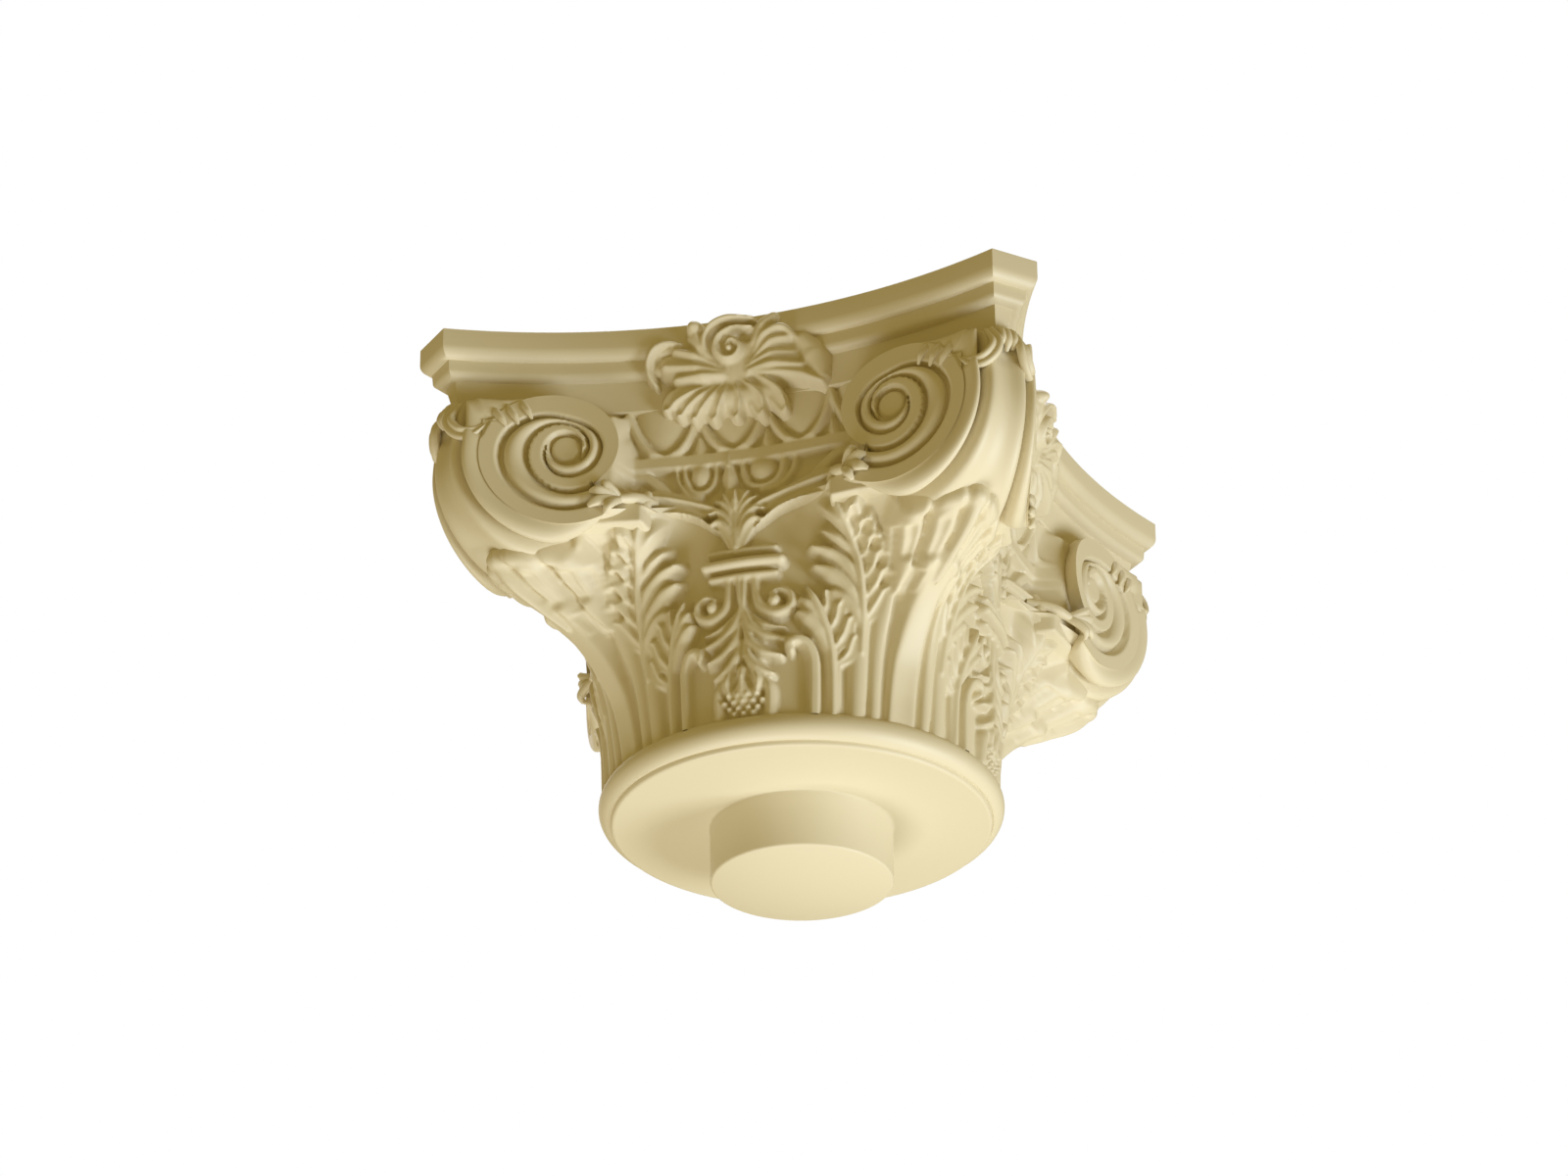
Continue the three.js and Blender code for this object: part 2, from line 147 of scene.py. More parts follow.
@dataclass
class Relief:
    """Height of carving over a flat field, cut with strokes as a carver would.

    Attributes:
        across: Places along the field, rising.
        up: Places up the field, rising, in millimetres.
        stretch: Millimetres for each unit of across.
    """

    across: Array
    up: Array
    stretch: float = 1.0
    height: Array = field(init=False)

    def __post_init__(self) -> None:
        """Starts with a bare field."""
        self.height = np.zeros((len(self.up), len(self.across)))

    def window(self, path: Array, reach: float) -> tuple[slice, slice]:
        """Rows and columns that a stroke can touch.

        Args:
            path: Points of the stroke's middle.
            reach: How far the stroke reaches from them.

        Returns:
            Slices of the rows and of the columns.
        """
        low = path.min(axis=0) - (reach / self.stretch, reach)
        high = path.max(axis=0) + (reach / self.stretch, reach)
        columns = slice(*np.searchsorted(self.across, (low[0], high[0])))
        rows = slice(*np.searchsorted(self.up, (low[1], high[1])))
        return rows, columns

    def trace(self, path: Array, width: Array, part: tuple[slice, slice]) -> tuple[Array, Array, Array]:
        """Nearest place on a path for each place of a part of the field.

        Args:
            path: Points of the path.
            width: Half width at each point.
            part: Rows and columns to work on.

        Returns:
            Distance as a share of the half width, share along the path, and side of the path (-1 or 1).
        """
        grid_x, grid_y = np.meshgrid(self.across[part[1]] * self.stretch, self.up[part[0]])
        scaled = path * (self.stretch, 1.0)
        reach = np.full(grid_x.shape, np.inf)
        share = np.zeros_like(reach)
        side = np.ones_like(reach)
        last = len(path) - 1
        for i in range(last):
            start, step = scaled[i], scaled[i + 1] - scaled[i]
            away_x, away_y = grid_x - start[0], grid_y - start[1]
            spot = np.clip((away_x * step[0] + away_y * step[1]) / (step @ step + 1e-9), 0, 1)
            gap = np.hypot(away_x - spot * step[0], away_y - spot * step[1])
            ratio = gap / (width[i] + spot * (width[i + 1] - width[i]))
            closer = ratio < reach
            reach = np.where(closer, ratio, reach)
            share = np.where(closer, (i + spot) / last, share)
            side = np.where(closer, np.sign(step[0] * away_y - step[1] * away_x), side)
        return reach, share, side

    def stroke(
        self,
        path: Pairs,
        width: tuple[float, ...],
        height: tuple[float, ...],
        crown: Crown = Crown.ROUND,
        tilt: float = 0.0,
        mirror: bool = True,
    ) -> None:
        """Raises a stroke along a path: the field takes the larger of what it has and the stroke's section.

        Args:
            path: Control points of the stroke's middle.
            width: Half widths spread along it.
            height: Heights of its crest spread along it.
            crown: Section across it.
            tilt: How much its left side is higher than its right, as a share of its height.
            mirror: Whether the same stroke is cut on the other half.
        """
        for sign in (1, -1) if mirror else (1,):
            knots = np.asarray(path, float) * (sign, 1)
            points = spline(knots, 7 * len(knots))
            widths = along(width, np.linspace(0, 1, len(points)))
            part = self.window(points, max(width))
            reach, share, side = self.trace(points, widths, part)
            crest = along(height, share) * (1 + sign * tilt * side * np.minimum(reach, 1))
            raised = np.where(reach < 1, crest * crown.shape(np.minimum(reach, 1)), 0)
            self.height[part] = np.maximum(self.height[part], raised)

    def groove(self, path: Pairs, width: float, depth: float, mirror: bool = True) -> None:
        """Cuts a groove along a path: depth times the bell curve exp(-(distance / width)^2)."""
        for sign in (1, -1) if mirror else (1,):
            points = spline(np.asarray(path, float) * (sign, 1), 7 * len(path))
            part = self.window(points, 3 * width)
            reach, _, _ = self.trace(points, np.full(len(points), width), part)
            self.height[part] -= depth * np.exp(-(reach**2))

    def boss(
        self, place: tuple[float, float], radius: tuple[float, float], height: float, mirror: bool = True
    ) -> None:
        """Raises an oval boss: height times the square root of one less the squared share of its radii."""
        for sign in (1, -1) if mirror else (1,):
            share_x = (self.across[None, :] - sign * place[0]) * self.stretch / radius[0]
            share_y = (self.up[:, None] - place[1]) / radius[1]
            dome = height * np.sqrt(np.clip(1 - share_x**2 - share_y**2, 0, 1))
            self.height = np.maximum(self.height, dome)


@dataclass
class Shell:
    """Collects the patches of one piece and makes its mesh."""

    name: str
    points: list[Array] = field(default_factory=list)
    quads: list[Array] = field(default_factory=list)
    triangles: list[Array] = field(default_factory=list)
    hollow: list[Array] = field(default_factory=list)
    count: int = 0

    def add_points(self, points: Array, hollow: Array | float) -> int:
        """Keeps points with their hollowness and returns the number of the first.

        Args:
            points: Points in any arrangement, the last axis being x, y and z.
            hollow: Hollowness of each point, or one for all.

        Returns:
            Number of the first point.
        """
        first = self.count
        flat = points.reshape(-1, 3)
        self.points.append(flat)
        self.hollow.append(np.broadcast_to(hollow, points.shape[:-1]).reshape(-1))
        self.count += len(flat)
        return first

    def add_grid(self, grid: Array, hollow: Array | float = PLAIN_HOLLOW, ring: bool = False) -> Array:
        """Adds a grid of points as quads whose outside is to the left of row after row.

        Args:
            grid: Points by row and column.
            hollow: Hollowness of each point.
            ring: Whether the last column joins the first.

        Returns:
            Numbers of the points by row and column.
        """
        rows, columns = grid.shape[:2]
        ids = self.add_points(grid, hollow) + np.arange(rows * columns).reshape(rows, columns)
        wrapped = np.hstack([ids, ids[:, :1]]) if ring else ids
        corners = (wrapped[:-1, :-1], wrapped[:-1, 1:], wrapped[1:, 1:], wrapped[1:, :-1])
        self.quads.append(np.stack(corners, axis=-1).reshape(-1, 4))
        return ids

    def add_fan(self, loop: Array, tip: Array) -> None:
        """Closes a ring of points onto one tip.

        Args:
            loop: Numbers of the ring's points in order.
            tip: Place of the tip.
        """
        top = self.add_points(np.asarray(tip, float).reshape(1, 3), PLAIN_HOLLOW)
        after = np.roll(loop, -1)
        self.triangles.append(np.stack([after, loop, np.full_like(loop, top)], axis=-1))

    def add_sheet(self, grid: Array, hollow: Array, inside: Array | tuple[float, ...]) -> None:
        """Adds an open grid and closes it behind, from its border to one point inside the capital.

        Args:
            grid: Points by row and column.
            hollow: Hollowness of each point.
            inside: Point that the back is drawn to.
        """
        ids = self.add_grid(grid, hollow)
        border = np.concatenate([ids[0, :-1], ids[:-1, -1], ids[-1, :0:-1], ids[:0:-1, 0]])
        self.add_fan(border, np.asarray(inside, float))

    def add_tube(self, grid: Array, hollow: Array | float = SWEPT_HOLLOW) -> None:
        """Adds rings, each closed on itself, with both ends drawn together to a point.

        Args:
            grid: Points by ring and place round it.
            hollow: Hollowness of each point, or one for all.
        """
        ids = self.add_grid(grid, hollow, ring=True)
        self.add_fan(ids[0], grid[0].mean(axis=0))
        self.add_fan(ids[-1][::-1], grid[-1].mean(axis=0))

    def turned(self, quarter: int) -> "Shell":
        """The same piece on another side, a number of quarter turns round the axis.

        Args:
            quarter: Number of quarter turns.

        Returns:
            Copy that shares this shell's faces.
        """
        turn = np.linalg.matrix_power(QUARTER_TURN, quarter)
        copy = Shell(f"{self.name}_{quarter + 1}")
        copy.points = [points @ turn for points in self.points]
        copy.quads, copy.triangles = self.quads, self.triangles
        copy.hollow, copy.count = self.hollow, self.count
        return copy

    def build_round(self, finish: "PlasterFinish") -> None:
        """Makes the piece on all four sides."""
        for quarter in range(SIDES):
            self.turned(quarter).build(finish)

    def build(self, finish: "PlasterFinish", sharp: float = 70.0) -> bpy.types.Object:
        """Makes the mesh object, dresses it and ties it to the frame.

        Args:
            finish: Material of the piece.
            sharp: Angle in degrees past which an edge stays crisp.

        Returns:
            The finished object.
        """
        quads = np.concatenate(self.quads) if self.quads else np.zeros((0, 4), int)
        triangles = np.concatenate(self.triangles) if self.triangles else np.zeros((0, 3), int)
        loops = np.concatenate([quads.ravel(), triangles.ravel()])
        starts = np.concatenate([np.arange(len(quads)) * 4, len(quads) * 4 + np.arange(len(triangles)) * 3])
        mesh = bpy.data.meshes.new(self.name)
        mesh.vertices.add(self.count)
        mesh.vertices.foreach_set("co", (np.concatenate(self.points) * MM).astype(np.float32).ravel())
        mesh.loops.add(len(loops))
        mesh.loops.foreach_set("vertex_index", loops.astype(np.int32))
        mesh.polygons.add(len(starts))
        mesh.polygons.foreach_set("loop_start", starts.astype(np.int32))
        mesh.update(calc_edges=True)
        # The hollow attribute is the painted shade that the material reads for each point.
        mesh.attributes.new("hollow", "FLOAT", "POINT").data.foreach_set(
            "value", np.concatenate(self.hollow).astype(np.float32)
        )
        mesh.shade_smooth()
        mesh.set_sharp_from_angle(angle=math.radians(sharp))
        piece = bpy.data.objects.new(self.name, mesh)
        bpy.context.scene.collection.objects.link(piece)
        mesh.materials.append(finish.material())
        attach(piece, BODY)
        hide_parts(NODE)
        LOG.info("%s: %d triangles", self.name, 2 * len(quads) + len(triangles))
        return piece


def leaf_blade(
    path: Array | Pairs,
    facing: Array | tuple[float, ...],
    width: tuple[float, ...],
    thick: tuple[float, ...],
    dip: float = 0.0,
    steps: int = 26,
    sides: int = 16,
) -> Array:
    """Rings of a carved blade: an oval section carried along a path, flattened behind.

    At an angle round the section, a point lies width times cosine to the side and thick times sine to
    the front, less dip times the thickness near the middle, where a vein or hollow runs.

    Args:
        path: Control points of its middle.
        facing: Direction that its front faces, one for all or one for each control point.
        width: Half widths spread along it.
        thick: Thicknesses spread along it.
        dip: Share of the thickness that its middle is hollowed by, negative for a ridge.
        steps: Number of rings.
        sides: Points on each ring.

    Returns:
        Points by ring and side.
    """
    middle = spline(path, steps)
    normal = np.asarray(facing, float)
    normal = spline(normal, steps) if normal.ndim == 2 else np.tile(normal, (steps, 1))
    tangent = np.gradient(middle, axis=0)
    tangent /= np.linalg.norm(tangent, axis=1, keepdims=True) + 1e-9
    side = np.cross(tangent, normal)
    side /= np.linalg.norm(side, axis=1, keepdims=True) + 1e-9
    normal = np.cross(side, tangent)
    share = np.linspace(0, 1, steps)
    turn = np.linspace(0, 2 * np.pi, sides, endpoint=False)
    front = np.where(np.sin(turn) > 0, np.abs(np.sin(turn)) ** 0.7, -0.6 * np.abs(np.sin(turn)))
    front = front - dip * np.exp(-((np.cos(turn) / 0.35) ** 2)) * (np.sin(turn) > 0)
    broad = along(width, share)[:, None, None] * np.cos(turn)[None, :, None] * side[:, None, :]
    deep = along(thick, share)[:, None, None] * front[None, :, None] * normal[:, None, :]
    return (middle[:, None, :] + broad + deep)[:, ::-1]


# ---- Body of the capital -------------------------------------------------------------------


@dataclass
class HollowSquare:
    """Plan shared by the abacus and everything that follows its four hollow sides.

    Attributes:
        half_width: Axis to the outermost point of a corner's side.
        half_chord: Half the straight width of a hollow side.
        sagitta: How deep a side is hollowed.
        side_steps: Points along a side.
        corner_steps: Points along a chamfer, with both its ends.
    """

    half_width: float = 200.0
    half_chord: float = 177.0
    sagitta: float = 39.5
    side_steps: int = 72
    corner_steps: int = 8
    radius: float = field(init=False)
    centre: float = field(init=False)

    def __post_init__(self) -> None:
        """Radius of the hollow and distance of its centre from the axis, by the chord and its sagitta."""
        self.radius = (self.half_chord**2 + self.sagitta**2) / (2 * self.sagitta)
        self.centre = self.half_width - self.sagitta + self.radius

    def depth(self, across: Array, inset: Array | float) -> Array:
        """Distance of a side from the axis: the centre less the circle's height at that place."""
        return self.centre - np.sqrt((self.radius + inset) ** 2 - across**2)

    def on_front(self, across: Array | float, inset: Array | float, height: Array | float) -> Array:
        """Points on the front side, by place along it, inset from it and height."""
        across, inset, height = np.broadcast_arrays(
            np.asarray(across, float), np.asarray(inset, float), np.asarray(height, float)
        )
        return np.stack([across, -self.depth(across, inset), height], axis=-1)

    def half_length(self, inset: Array | float) -> Array:
        """Where a side inset this far meets the corner's chamfer.

        Args:
            inset: How far the side lies inside the outermost one.

        Returns:
            Half the length of that side.
        """
        chamfer = self.half_width + self.half_chord - inset * math.sqrt(2)
        lean = chamfer - self.centre
        return (lean + np.sqrt(2 * (self.radius + inset) ** 2 - lean**2)) / 2

    def loop(self, inset: float, height: float) -> Array:
        """One level of the plan: four hollow sides, each followed by its chamfer.

        Args:
            inset: How far the loop lies inside the outermost one.
            height: Height of the loop.

        Returns:
            Points once round.
        """
        half = float(self.half_length(inset))
        side = self.on_front(np.linspace(-half, half, self.side_steps), inset, height)
        start, end = side[-1], np.array([-side[0, 1], side[0, 0], height])
        corner = start + (end - start) * np.linspace(0, 1, self.corner_steps)[1:-1, None]
        quarter = np.vstack([side, corner])
        return np.vstack([quarter @ np.linalg.matrix_power(QUARTER_TURN, k) for k in range(SIDES)])


PLAN = HollowSquare()


@dataclass
class Neck:
    """Pin, flat underside and half-round moulding at the foot, turned about the axis.

    Attributes:
        sides: Points round the axis.
        torus: Radius and height of the middle of the moulding's section.
        torus_half: Half its width and half its height.
        profile: Radius and height of the pin and the disc, from the axis out.
    """

    sides: int = 240
    torus: tuple[float, float] = (117.6, 50.0)
    torus_half: tuple[float, float] = (10.1, 9.7)
    profile: Pairs = field(
        default_factory=lambda: [
            (0.5, 0.0), (56.1, 0.0), (57.1, 0.5), (57.5, 1.6), (57.5, 36.8), (58.1, 37.6), (59.3, 38.0),
            (117.4, 38.0), (118.8, 38.2), (119.6, 38.9), (120.0, 40.0),
        ]
    )

    def outline(self) -> Array:
        """Profile from the axis out: the pin and disc, then the moulding as an arc, then its top.

        Returns:
            Radius and height of each point.
        """
        turn = np.radians(np.linspace(-118, 112, 34))[7:]
        arc = np.array(self.torus) + np.array(self.torus_half) * np.stack(
            [np.cos(turn), np.sin(turn)], axis=-1
        )
        quirk, inside = [(120.2, 41.4)], [(112.0, 60.0), (60.0, 62.0)]
        return np.vstack([self.profile, quirk, arc, inside])

    def hollow(self, outline: Array) -> Array:
        """Hollowness along the profile, which the material shows as painted shade: bell curves in the corner
        round the pin and in the crease under the moulding, and even values on the pin's side and inside the
        bell.

        Args:
            outline: Radius and height of each point.

        Returns:
            Hollowness of each point, that is, its painted shade.
        """
        out, up = outline.T
        # Painted shade in the corner round the pin, in the crease under the moulding, on the pin's shaded
        # side and inside the bell.
        corner = 0.5 * np.exp(-(((out - 58.5) / 9) ** 2)) * (up > 30)
        crease_shade = 0.6 * np.exp(-(((out - 120) / 1.5) ** 2)) * (up < 44)
        inside = 0.8 * (up > 58)
        pin_side_shade = 0.75 * (np.abs(out - 57.4) < 0.4)
        return np.clip(0.15 + corner + crease_shade + inside + pin_side_shade, 0, 1)

    def build(self, finish: "PlasterFinish") -> None:
        """Carries the profile round the axis, a little out of true, and closes it at the foot and inside.

        Args:
            finish: Material of the pieces.
        """
        outline = self.outline()
        angle = np.linspace(0, 2 * np.pi, self.sides, endpoint=False)
        rounds = np.stack([np.cos(angle), np.sin(angle)], axis=-1)
        ring = outline[:, None, :1] * rounds[None, :, :]
        height = np.broadcast_to(outline[:, None, 1:], (*ring.shape[:2], 1))
        wave = 0.25 * np.sin(2 * angle + 0.6) + 0.18 * np.sin(5 * angle)
        grid = np.concatenate([ring, height], axis=-1)
        grid[:, :, :2] *= 1 + 0.0012 * wave[None, :, None] * (outline[:, 0] > 60)[:, None, None]
        shell = Shell("neck")
        shell.add_tube(grid, self.hollow(outline)[:, None])
        shell.build(finish, sharp=50)


@dataclass
class Abacus:
    """Moulded slab with four hollow sides and cut corners.

    Attributes:
        levels: Inset, height and hollowness of each edge, from the underside up to the top; the hollowness is
            painted shade on the moulding's bands.
    """

    levels: Pairs = field(
        default_factory=lambda: [
            (60, 268.5, 0.9), (19.5, 268.6, 0.9), (18.6, 269.4, 0.85), (18.0, 272.5, 0.5), (16.6, 278, 0.34),
            (14.8, 285, 0.34), (14.0, 287.9, 0.5), (13.0, 288.0, 0.4), (11.2, 288.2, 0.2), (9.4, 288.9, 0.2),
            (8.0, 290.0, 0.22), (7.2, 291.4, 0.3), (7.0, 292.4, 0.55), (6.8, 295.0, 0.62), (6.5, 298.9, 0.66),
            (5.6, 299.0, 0.4), (4.2, 299.3, 0.2), (2.8, 300.1, 0.2), (1.6, 301.4, 0.25), (0.7, 303.0, 0.3),
            (0.15, 304.8, 0.32), (0.0, 306.5, 0.32), (0.0, 317.4, 0.32), (0.3, 317.9, 0.3), (0.9, 318, 0.3),
        ]
    )

    def build(self, finish: "PlasterFinish") -> None:
        """Stacks the plan's loops at each level and closes the slab above and below.

        Args:
            finish: Material of the pieces.
        """
        loops = np.stack([PLAN.loop(inset, height) for inset, height, _ in self.levels])
        shell = Shell("abacus")
        # The third column of each level is the painted shade at that edge.
        shell.add_tube(loops, np.array(self.levels)[:, 2:])
        shell.build(finish, sharp=28)


# ---- Foliage on the bell -------------------------------------------------------------------


@dataclass
class Bell:
    """Quarter of the bell with its tie, pendant, fronds and half of each corner leaf.

    The bare surface is lofted through ribs nine degrees apart, from the middle of a side to the
    diagonal. A place on it is named by its angle and its level. The level is the height as far as the
    bell stands upright, and goes on counting along the underside where it spreads to the scrolls.

    Attributes:
        foot: Level of the lowest row.
        top: Level of the highest row.
        columns: Points across a quarter.
        rows: Points up it.
        stretch: Millimetres to a degree.
        lean: Degrees that the carving in the middle of a side stands to the left.
        radii: Radius of each rib at evenly spaced levels.
        drops: How far each rib lies below its level, at the same levels.
        field_hollow: The most hollowness, that is painted shade, that the bare bell is given.
    """

    foot: float = 57.0
    top: float = 214.0
    columns: int = 244
    rows: int = 150
    stretch: float = 2.35
    lean: float = 1.6
    field_hollow: float = 0.36
    radii: Pairs = field(
        default_factory=lambda: [
            (120, 120.4, 120.9, 121.8, 122.9, 124.3, 126, 128),
            (120, 120.4, 120.9, 121.8, 122.9, 124.3, 126, 129),
            (120, 120.5, 121.4, 122.7, 124.3, 127, 131.5, 140),
            (119.5, 120.8, 122.3, 124.8, 128.5, 135.6, 153, 184),
            (119, 121.5, 125, 131, 141, 157, 179, 206),
            (118.5, 122, 129, 143, 160, 180, 199, 212),
        ]
    )
    drops: Pairs = field(
        default_factory=lambda: [
            (0, 0, 0, 0, 0, 0, 0, 0),
            (0, 0, 0, 0, 0, 0, 0, 0),
            (0, 0, 0, 0, 0, 0, 2, 9),
            (0, 0, 0, 0, 0, 1, 8.6, 21),
            (0, 0, 0, 0.7, 2, 6.6, 15, 22),
            (0, 0, 1, 2.3, 6.7, 14.6, 21.6, 24),
        ]
    )

    def bare(self, angle: Array, level: Array) -> Array:
        """Radius and height of the bare bell: smooth up each rib, then smooth from rib to rib.

        Args:
            angle: Angles from the middle of the side in degrees.
            level: Levels.

        Returns:
            Radius and height by level and angle.
        """
        place = (level - self.foot) / (self.top - self.foot) * (len(self.radii[0]) - 1)
        marks = np.linspace(self.foot, self.top, len(self.radii[0]))
        ribs = [np.stack([radii, marks - drops], axis=-1) for radii, drops in zip(self.radii, self.drops)]
        half = np.stack([spline(rib, place) for rib in ribs])
        ribs = np.concatenate([half[-2:-1], half[:0:-1], half, half[-2:-1]])
        lofted = spline(ribs.reshape(len(ribs), -1), (angle + 54) / 9)
        return lofted.reshape(len(angle), len(level), 2).transpose(1, 0, 2)

    def carve_tie(self, carving: Relief) -> None:
        """Three reeds that bind the stems together."""
        for height, half, proud, end in (
            (170.6, 3.2, 7.2, 9.4), (162.0, 5.0, 9.8, 10.6), (153.4, 3.4, 7.4, 9.4)
        ):
            carving.stroke([(-end, height), (end, height)], (half, half), (proud, proud), mirror=False)
        for height in (167.0, 157.0):
            carving.groove([(-9.8, height), (9.8, height)], 0.8, 3.0, mirror=False)

    def carve_pendant(self, carving: Relief) -> None:
        """Hooks and bosses under the tie, three tiers of husks and the bud at the foot.

        Args:
            carving: Relief that is carved.
        """
        hook = [
            (3.9, 152), (4.2, 142), (5.4, 132.0), (9.2, 126.4), (13.2, 129.5), (13.6, 137), (10.9, 141.8),
            (8.0, 140)
        ]
        carving.stroke(
            hook, (3.4, 3.6, 4.4, 4.8, 4.2, 3.4, 2.8, 1.8), (5.5, 5.5, 6.4, 7.8, 8.8, 9.0, 8.2, 6.5)
        )
        carving.boss((9.1, 134.4), (5.0, 5.4), 9.6)
        carving.stroke([(0, 152), (0, 138), (0, 122)], (5.4, 4.0, 1.0), (6.4, 6.8, 6.0), mirror=False)
        husks = [
            ([(0.5, 134), (3.0, 120), (7.0, 111.8), (12.6, 107.8)], 5.2, 7.2),
            ([(0.5, 122), (2.8, 109), (6.0, 101.0), (10.8, 96.8)], 5.6, 8.0),
            ([(0.5, 110), (2.2, 98.5), (4.6, 90.5), (8.6, 84.6)], 5.6, 8.4),
        ]
        for path, half, proud in husks:
            carving.stroke(
                path, (1.4, half, half * 0.95, 2.2), (4.6, proud, proud * 1.1, proud), Crown.RIDGE, tilt=-0.3
            )
            vein = [(x * 0.92 + 0.7, z + 3.4) for x, z in path]
            carving.groove(vein[1:], 0.8, 2.6)
        carving.stroke([(2.4, 128), (6.4, 118.5), (11.8, 115.6)], (1.2, 3.2, 1.6), (4.6, 7.6, 6.8))
        carving.groove([(0, 150), (0, 136), (0, 124)], 0.7, 2.0, mirror=False)
        carving.boss((0, 77), (11.4, 13.5), 8.0, mirror=False)
        carving.boss((0, 88), (5.0, 5.0), 9.0, mirror=False)
        carving.stroke(
            [(0, 94), (0, 84), (0, 75)], (0.8, 4.0, 2.6), (7, 10.5, 9.0), Crown.RIDGE, mirror=False
        )
        carving.stroke([(2.2, 92), (4.6, 81), (3.9, 72)], (1.2, 4.0, 2.6), (7, 10.0, 8.4), Crown.RIDGE)
        carving.stroke([(4.6, 88), (7.6, 76), (7.8, 60)], (1.4, 4.6, 5.0), (5.5, 7.6, 6.0), Crown.RIDGE)
        rows = ((72.0, (1.5, 4.2)), (68.0, (0.0, 2.9, 5.6)), (64.0, (1.5, 4.2)), (60.5, (0.0, 2.8)))
        for row, (height, spots) in enumerate(rows):
            for spot in spots:
                carving.boss((spot, height), (2.7, 2.3), 8.8 - 0.7 * row, mirror=spot > 0)
        carving.groove([(1.5, 83), (2.4, 78)], 1.5, 3.6)

    def carve_stems(self, carving: Relief) -> None:
        """Hooked stem and the lower frond beside it.

        Args:
            carving: Relief that is carved.
        """
        hook = [(19.3, 58), (19.4, 84), (19.1, 96), (17.4, 104.4), (14.8, 106.6), (12.8, 103.6), (13.4, 99.4)]
        carving.stroke(
            hook, (3.9, 3.9, 3.9, 4.0, 3.9, 3.4, 2.6), (5.8, 6.0, 7.0, 8.6, 9.8, 9.6, 8.6), Crown.PLATE
        )
        carving.stroke(
            [(24.6, 58), (24.6, 92), (23.8, 112), (21.6, 130)], (4.8, 5.5, 8, 5), (3.0, 3.6, 4.4, 4.4),
            Crown.PLATE
        )
        centreward = [
            ([(23.2, 98), (20.2, 112), (17.4, 119.8), (15.4, 123.6)], (2.0, 5.6, 5.8, 3.2),
             (5.4, 8.8, 10.6, 10.4)),
            ([(22.2, 111), (19.2, 123), (17.2, 129.6), (16.0, 133.0)], (1.8, 5.0, 4.8, 2.6),
             (6.0, 9.4, 10.8, 10.2)),
        ]
        cornerward = [
            ([(21.6, 119), (23.4, 128), (22.8, 138.0)], (1.6, 4.8, 3.2), (6.0, 9.8, 10.8)),
            ([(22.6, 109), (25.8, 118.5), (26.2, 129.0)], (1.6, 5.4, 3.6), (5.8, 9.6, 11.0)),
            ([(23.6, 98), (27.6, 107.5), (28.9, 120.0)], (1.6, 5.4, 3.6), (5.4, 9.2, 10.6)),
            ([(24.8, 90), (28.8, 97), (30.2, 108.4)], (1.6, 4.4, 3.0), (4.8, 7.8, 9.2)),
        ]
        self.leaflets(carving, centreward, Crown.ROUND, -0.2)
        self.leaflets(carving, cornerward, Crown.HOLLOW, 0.2)
        low = [(24.4, 58), (24.3, 86), (23.8, 101), (22.6, 113), (20.8, 124), (18.9, 134), (16.9, 143.5)]
        carving.stroke(
            low, (3.6, 3.6, 3.4, 3.6, 4.2, 3.8, 0.7), (5.6, 6.0, 7.2, 8.8, 10.6, 11.6, 10.0), Crown.ROUND
        )

    def carve_main_frond(self, carving: Relief) -> None:
        """Tall frond that leans from beside the corner leaf towards the middle.

        Args:
            carving: Relief that is carved.
        """
        carving.stroke([(31.4, 58), (31.6, 100), (31.4, 124)], (6.6, 6.8, 7.2), (5.0, 5.6, 5.8))
        body = [(31.6, 104), (31.0, 130), (29.2, 152), (27.0, 174), (24.8, 194)]
        carving.stroke(body, (6, 9, 12, 9, 5), (4.6, 4.8, 5.6, 6.6, 6.6), Crown.PLATE)
        centreward = [
            ([(28.4, 172), (26.0, 184), (23.4, 194), (21.4, 201.0)], (1.6, 5.6, 5.6, 2.8),
             (8.0, 11.0, 12.8, 12.4)),
            ([(29.4, 158), (26.6, 169), (23.8, 176.4), (21.6, 179.4)], (1.6, 5.6, 5.6, 3.0),
             (7.6, 10.6, 12.2, 11.8)),
            ([(30.6, 140), (27.0, 154.5), (22.6, 163.6), (18.8, 167.0)], (1.6, 6.2, 6.2, 3.2),
             (7.4, 11.0, 12.6, 12.2)),
            ([(31.3, 124), (27.8, 139.5), (23.4, 149.6), (19.5, 154.2)], (1.6, 6.0, 6.0, 3.2),
             (6.6, 10.2, 11.6, 11.2)),
            ([(31.8, 112), (29.6, 126), (26.6, 134.4), (24.2, 138.4)], (1.4, 5.0, 5.0, 2.8),
             (6.2, 9.0, 10.0, 9.4)),
        ]
        cornerward = [
            ([(26.4, 186), (27.2, 194), (26.4, 201.4)], (1.4, 4.0, 3.0), (9.0, 11.8, 12.8)),
            ([(28.2, 171), (30.2, 180.5), (29.4, 190.0)], (1.6, 5.2, 3.6), (8.6, 11.8, 13.0)),
            ([(29.8, 157), (32.4, 167), (31.8, 177.6)], (1.6, 5.4, 3.8), (8.0, 11.4, 12.8)),
            ([(30.8, 144), (34.0, 154.5), (33.9, 165.4)], (1.6, 5.6, 4.0), (7.4, 10.8, 12.4)),
            ([(31.6, 131), (35.0, 142.0), (35.6, 153.6)], (1.6, 5.6, 4.0), (6.6, 10.0, 11.6)),
            ([(32.2, 118), (35.2, 129), (36.6, 140.8)], (1.6, 4.8, 3.4), (6.0, 8.6, 10.0)),
        ]
        self.leaflets(carving, centreward, Crown.ROUND, -0.2)
        self.leaflets(carving, cornerward, Crown.HOLLOW, 0.2)
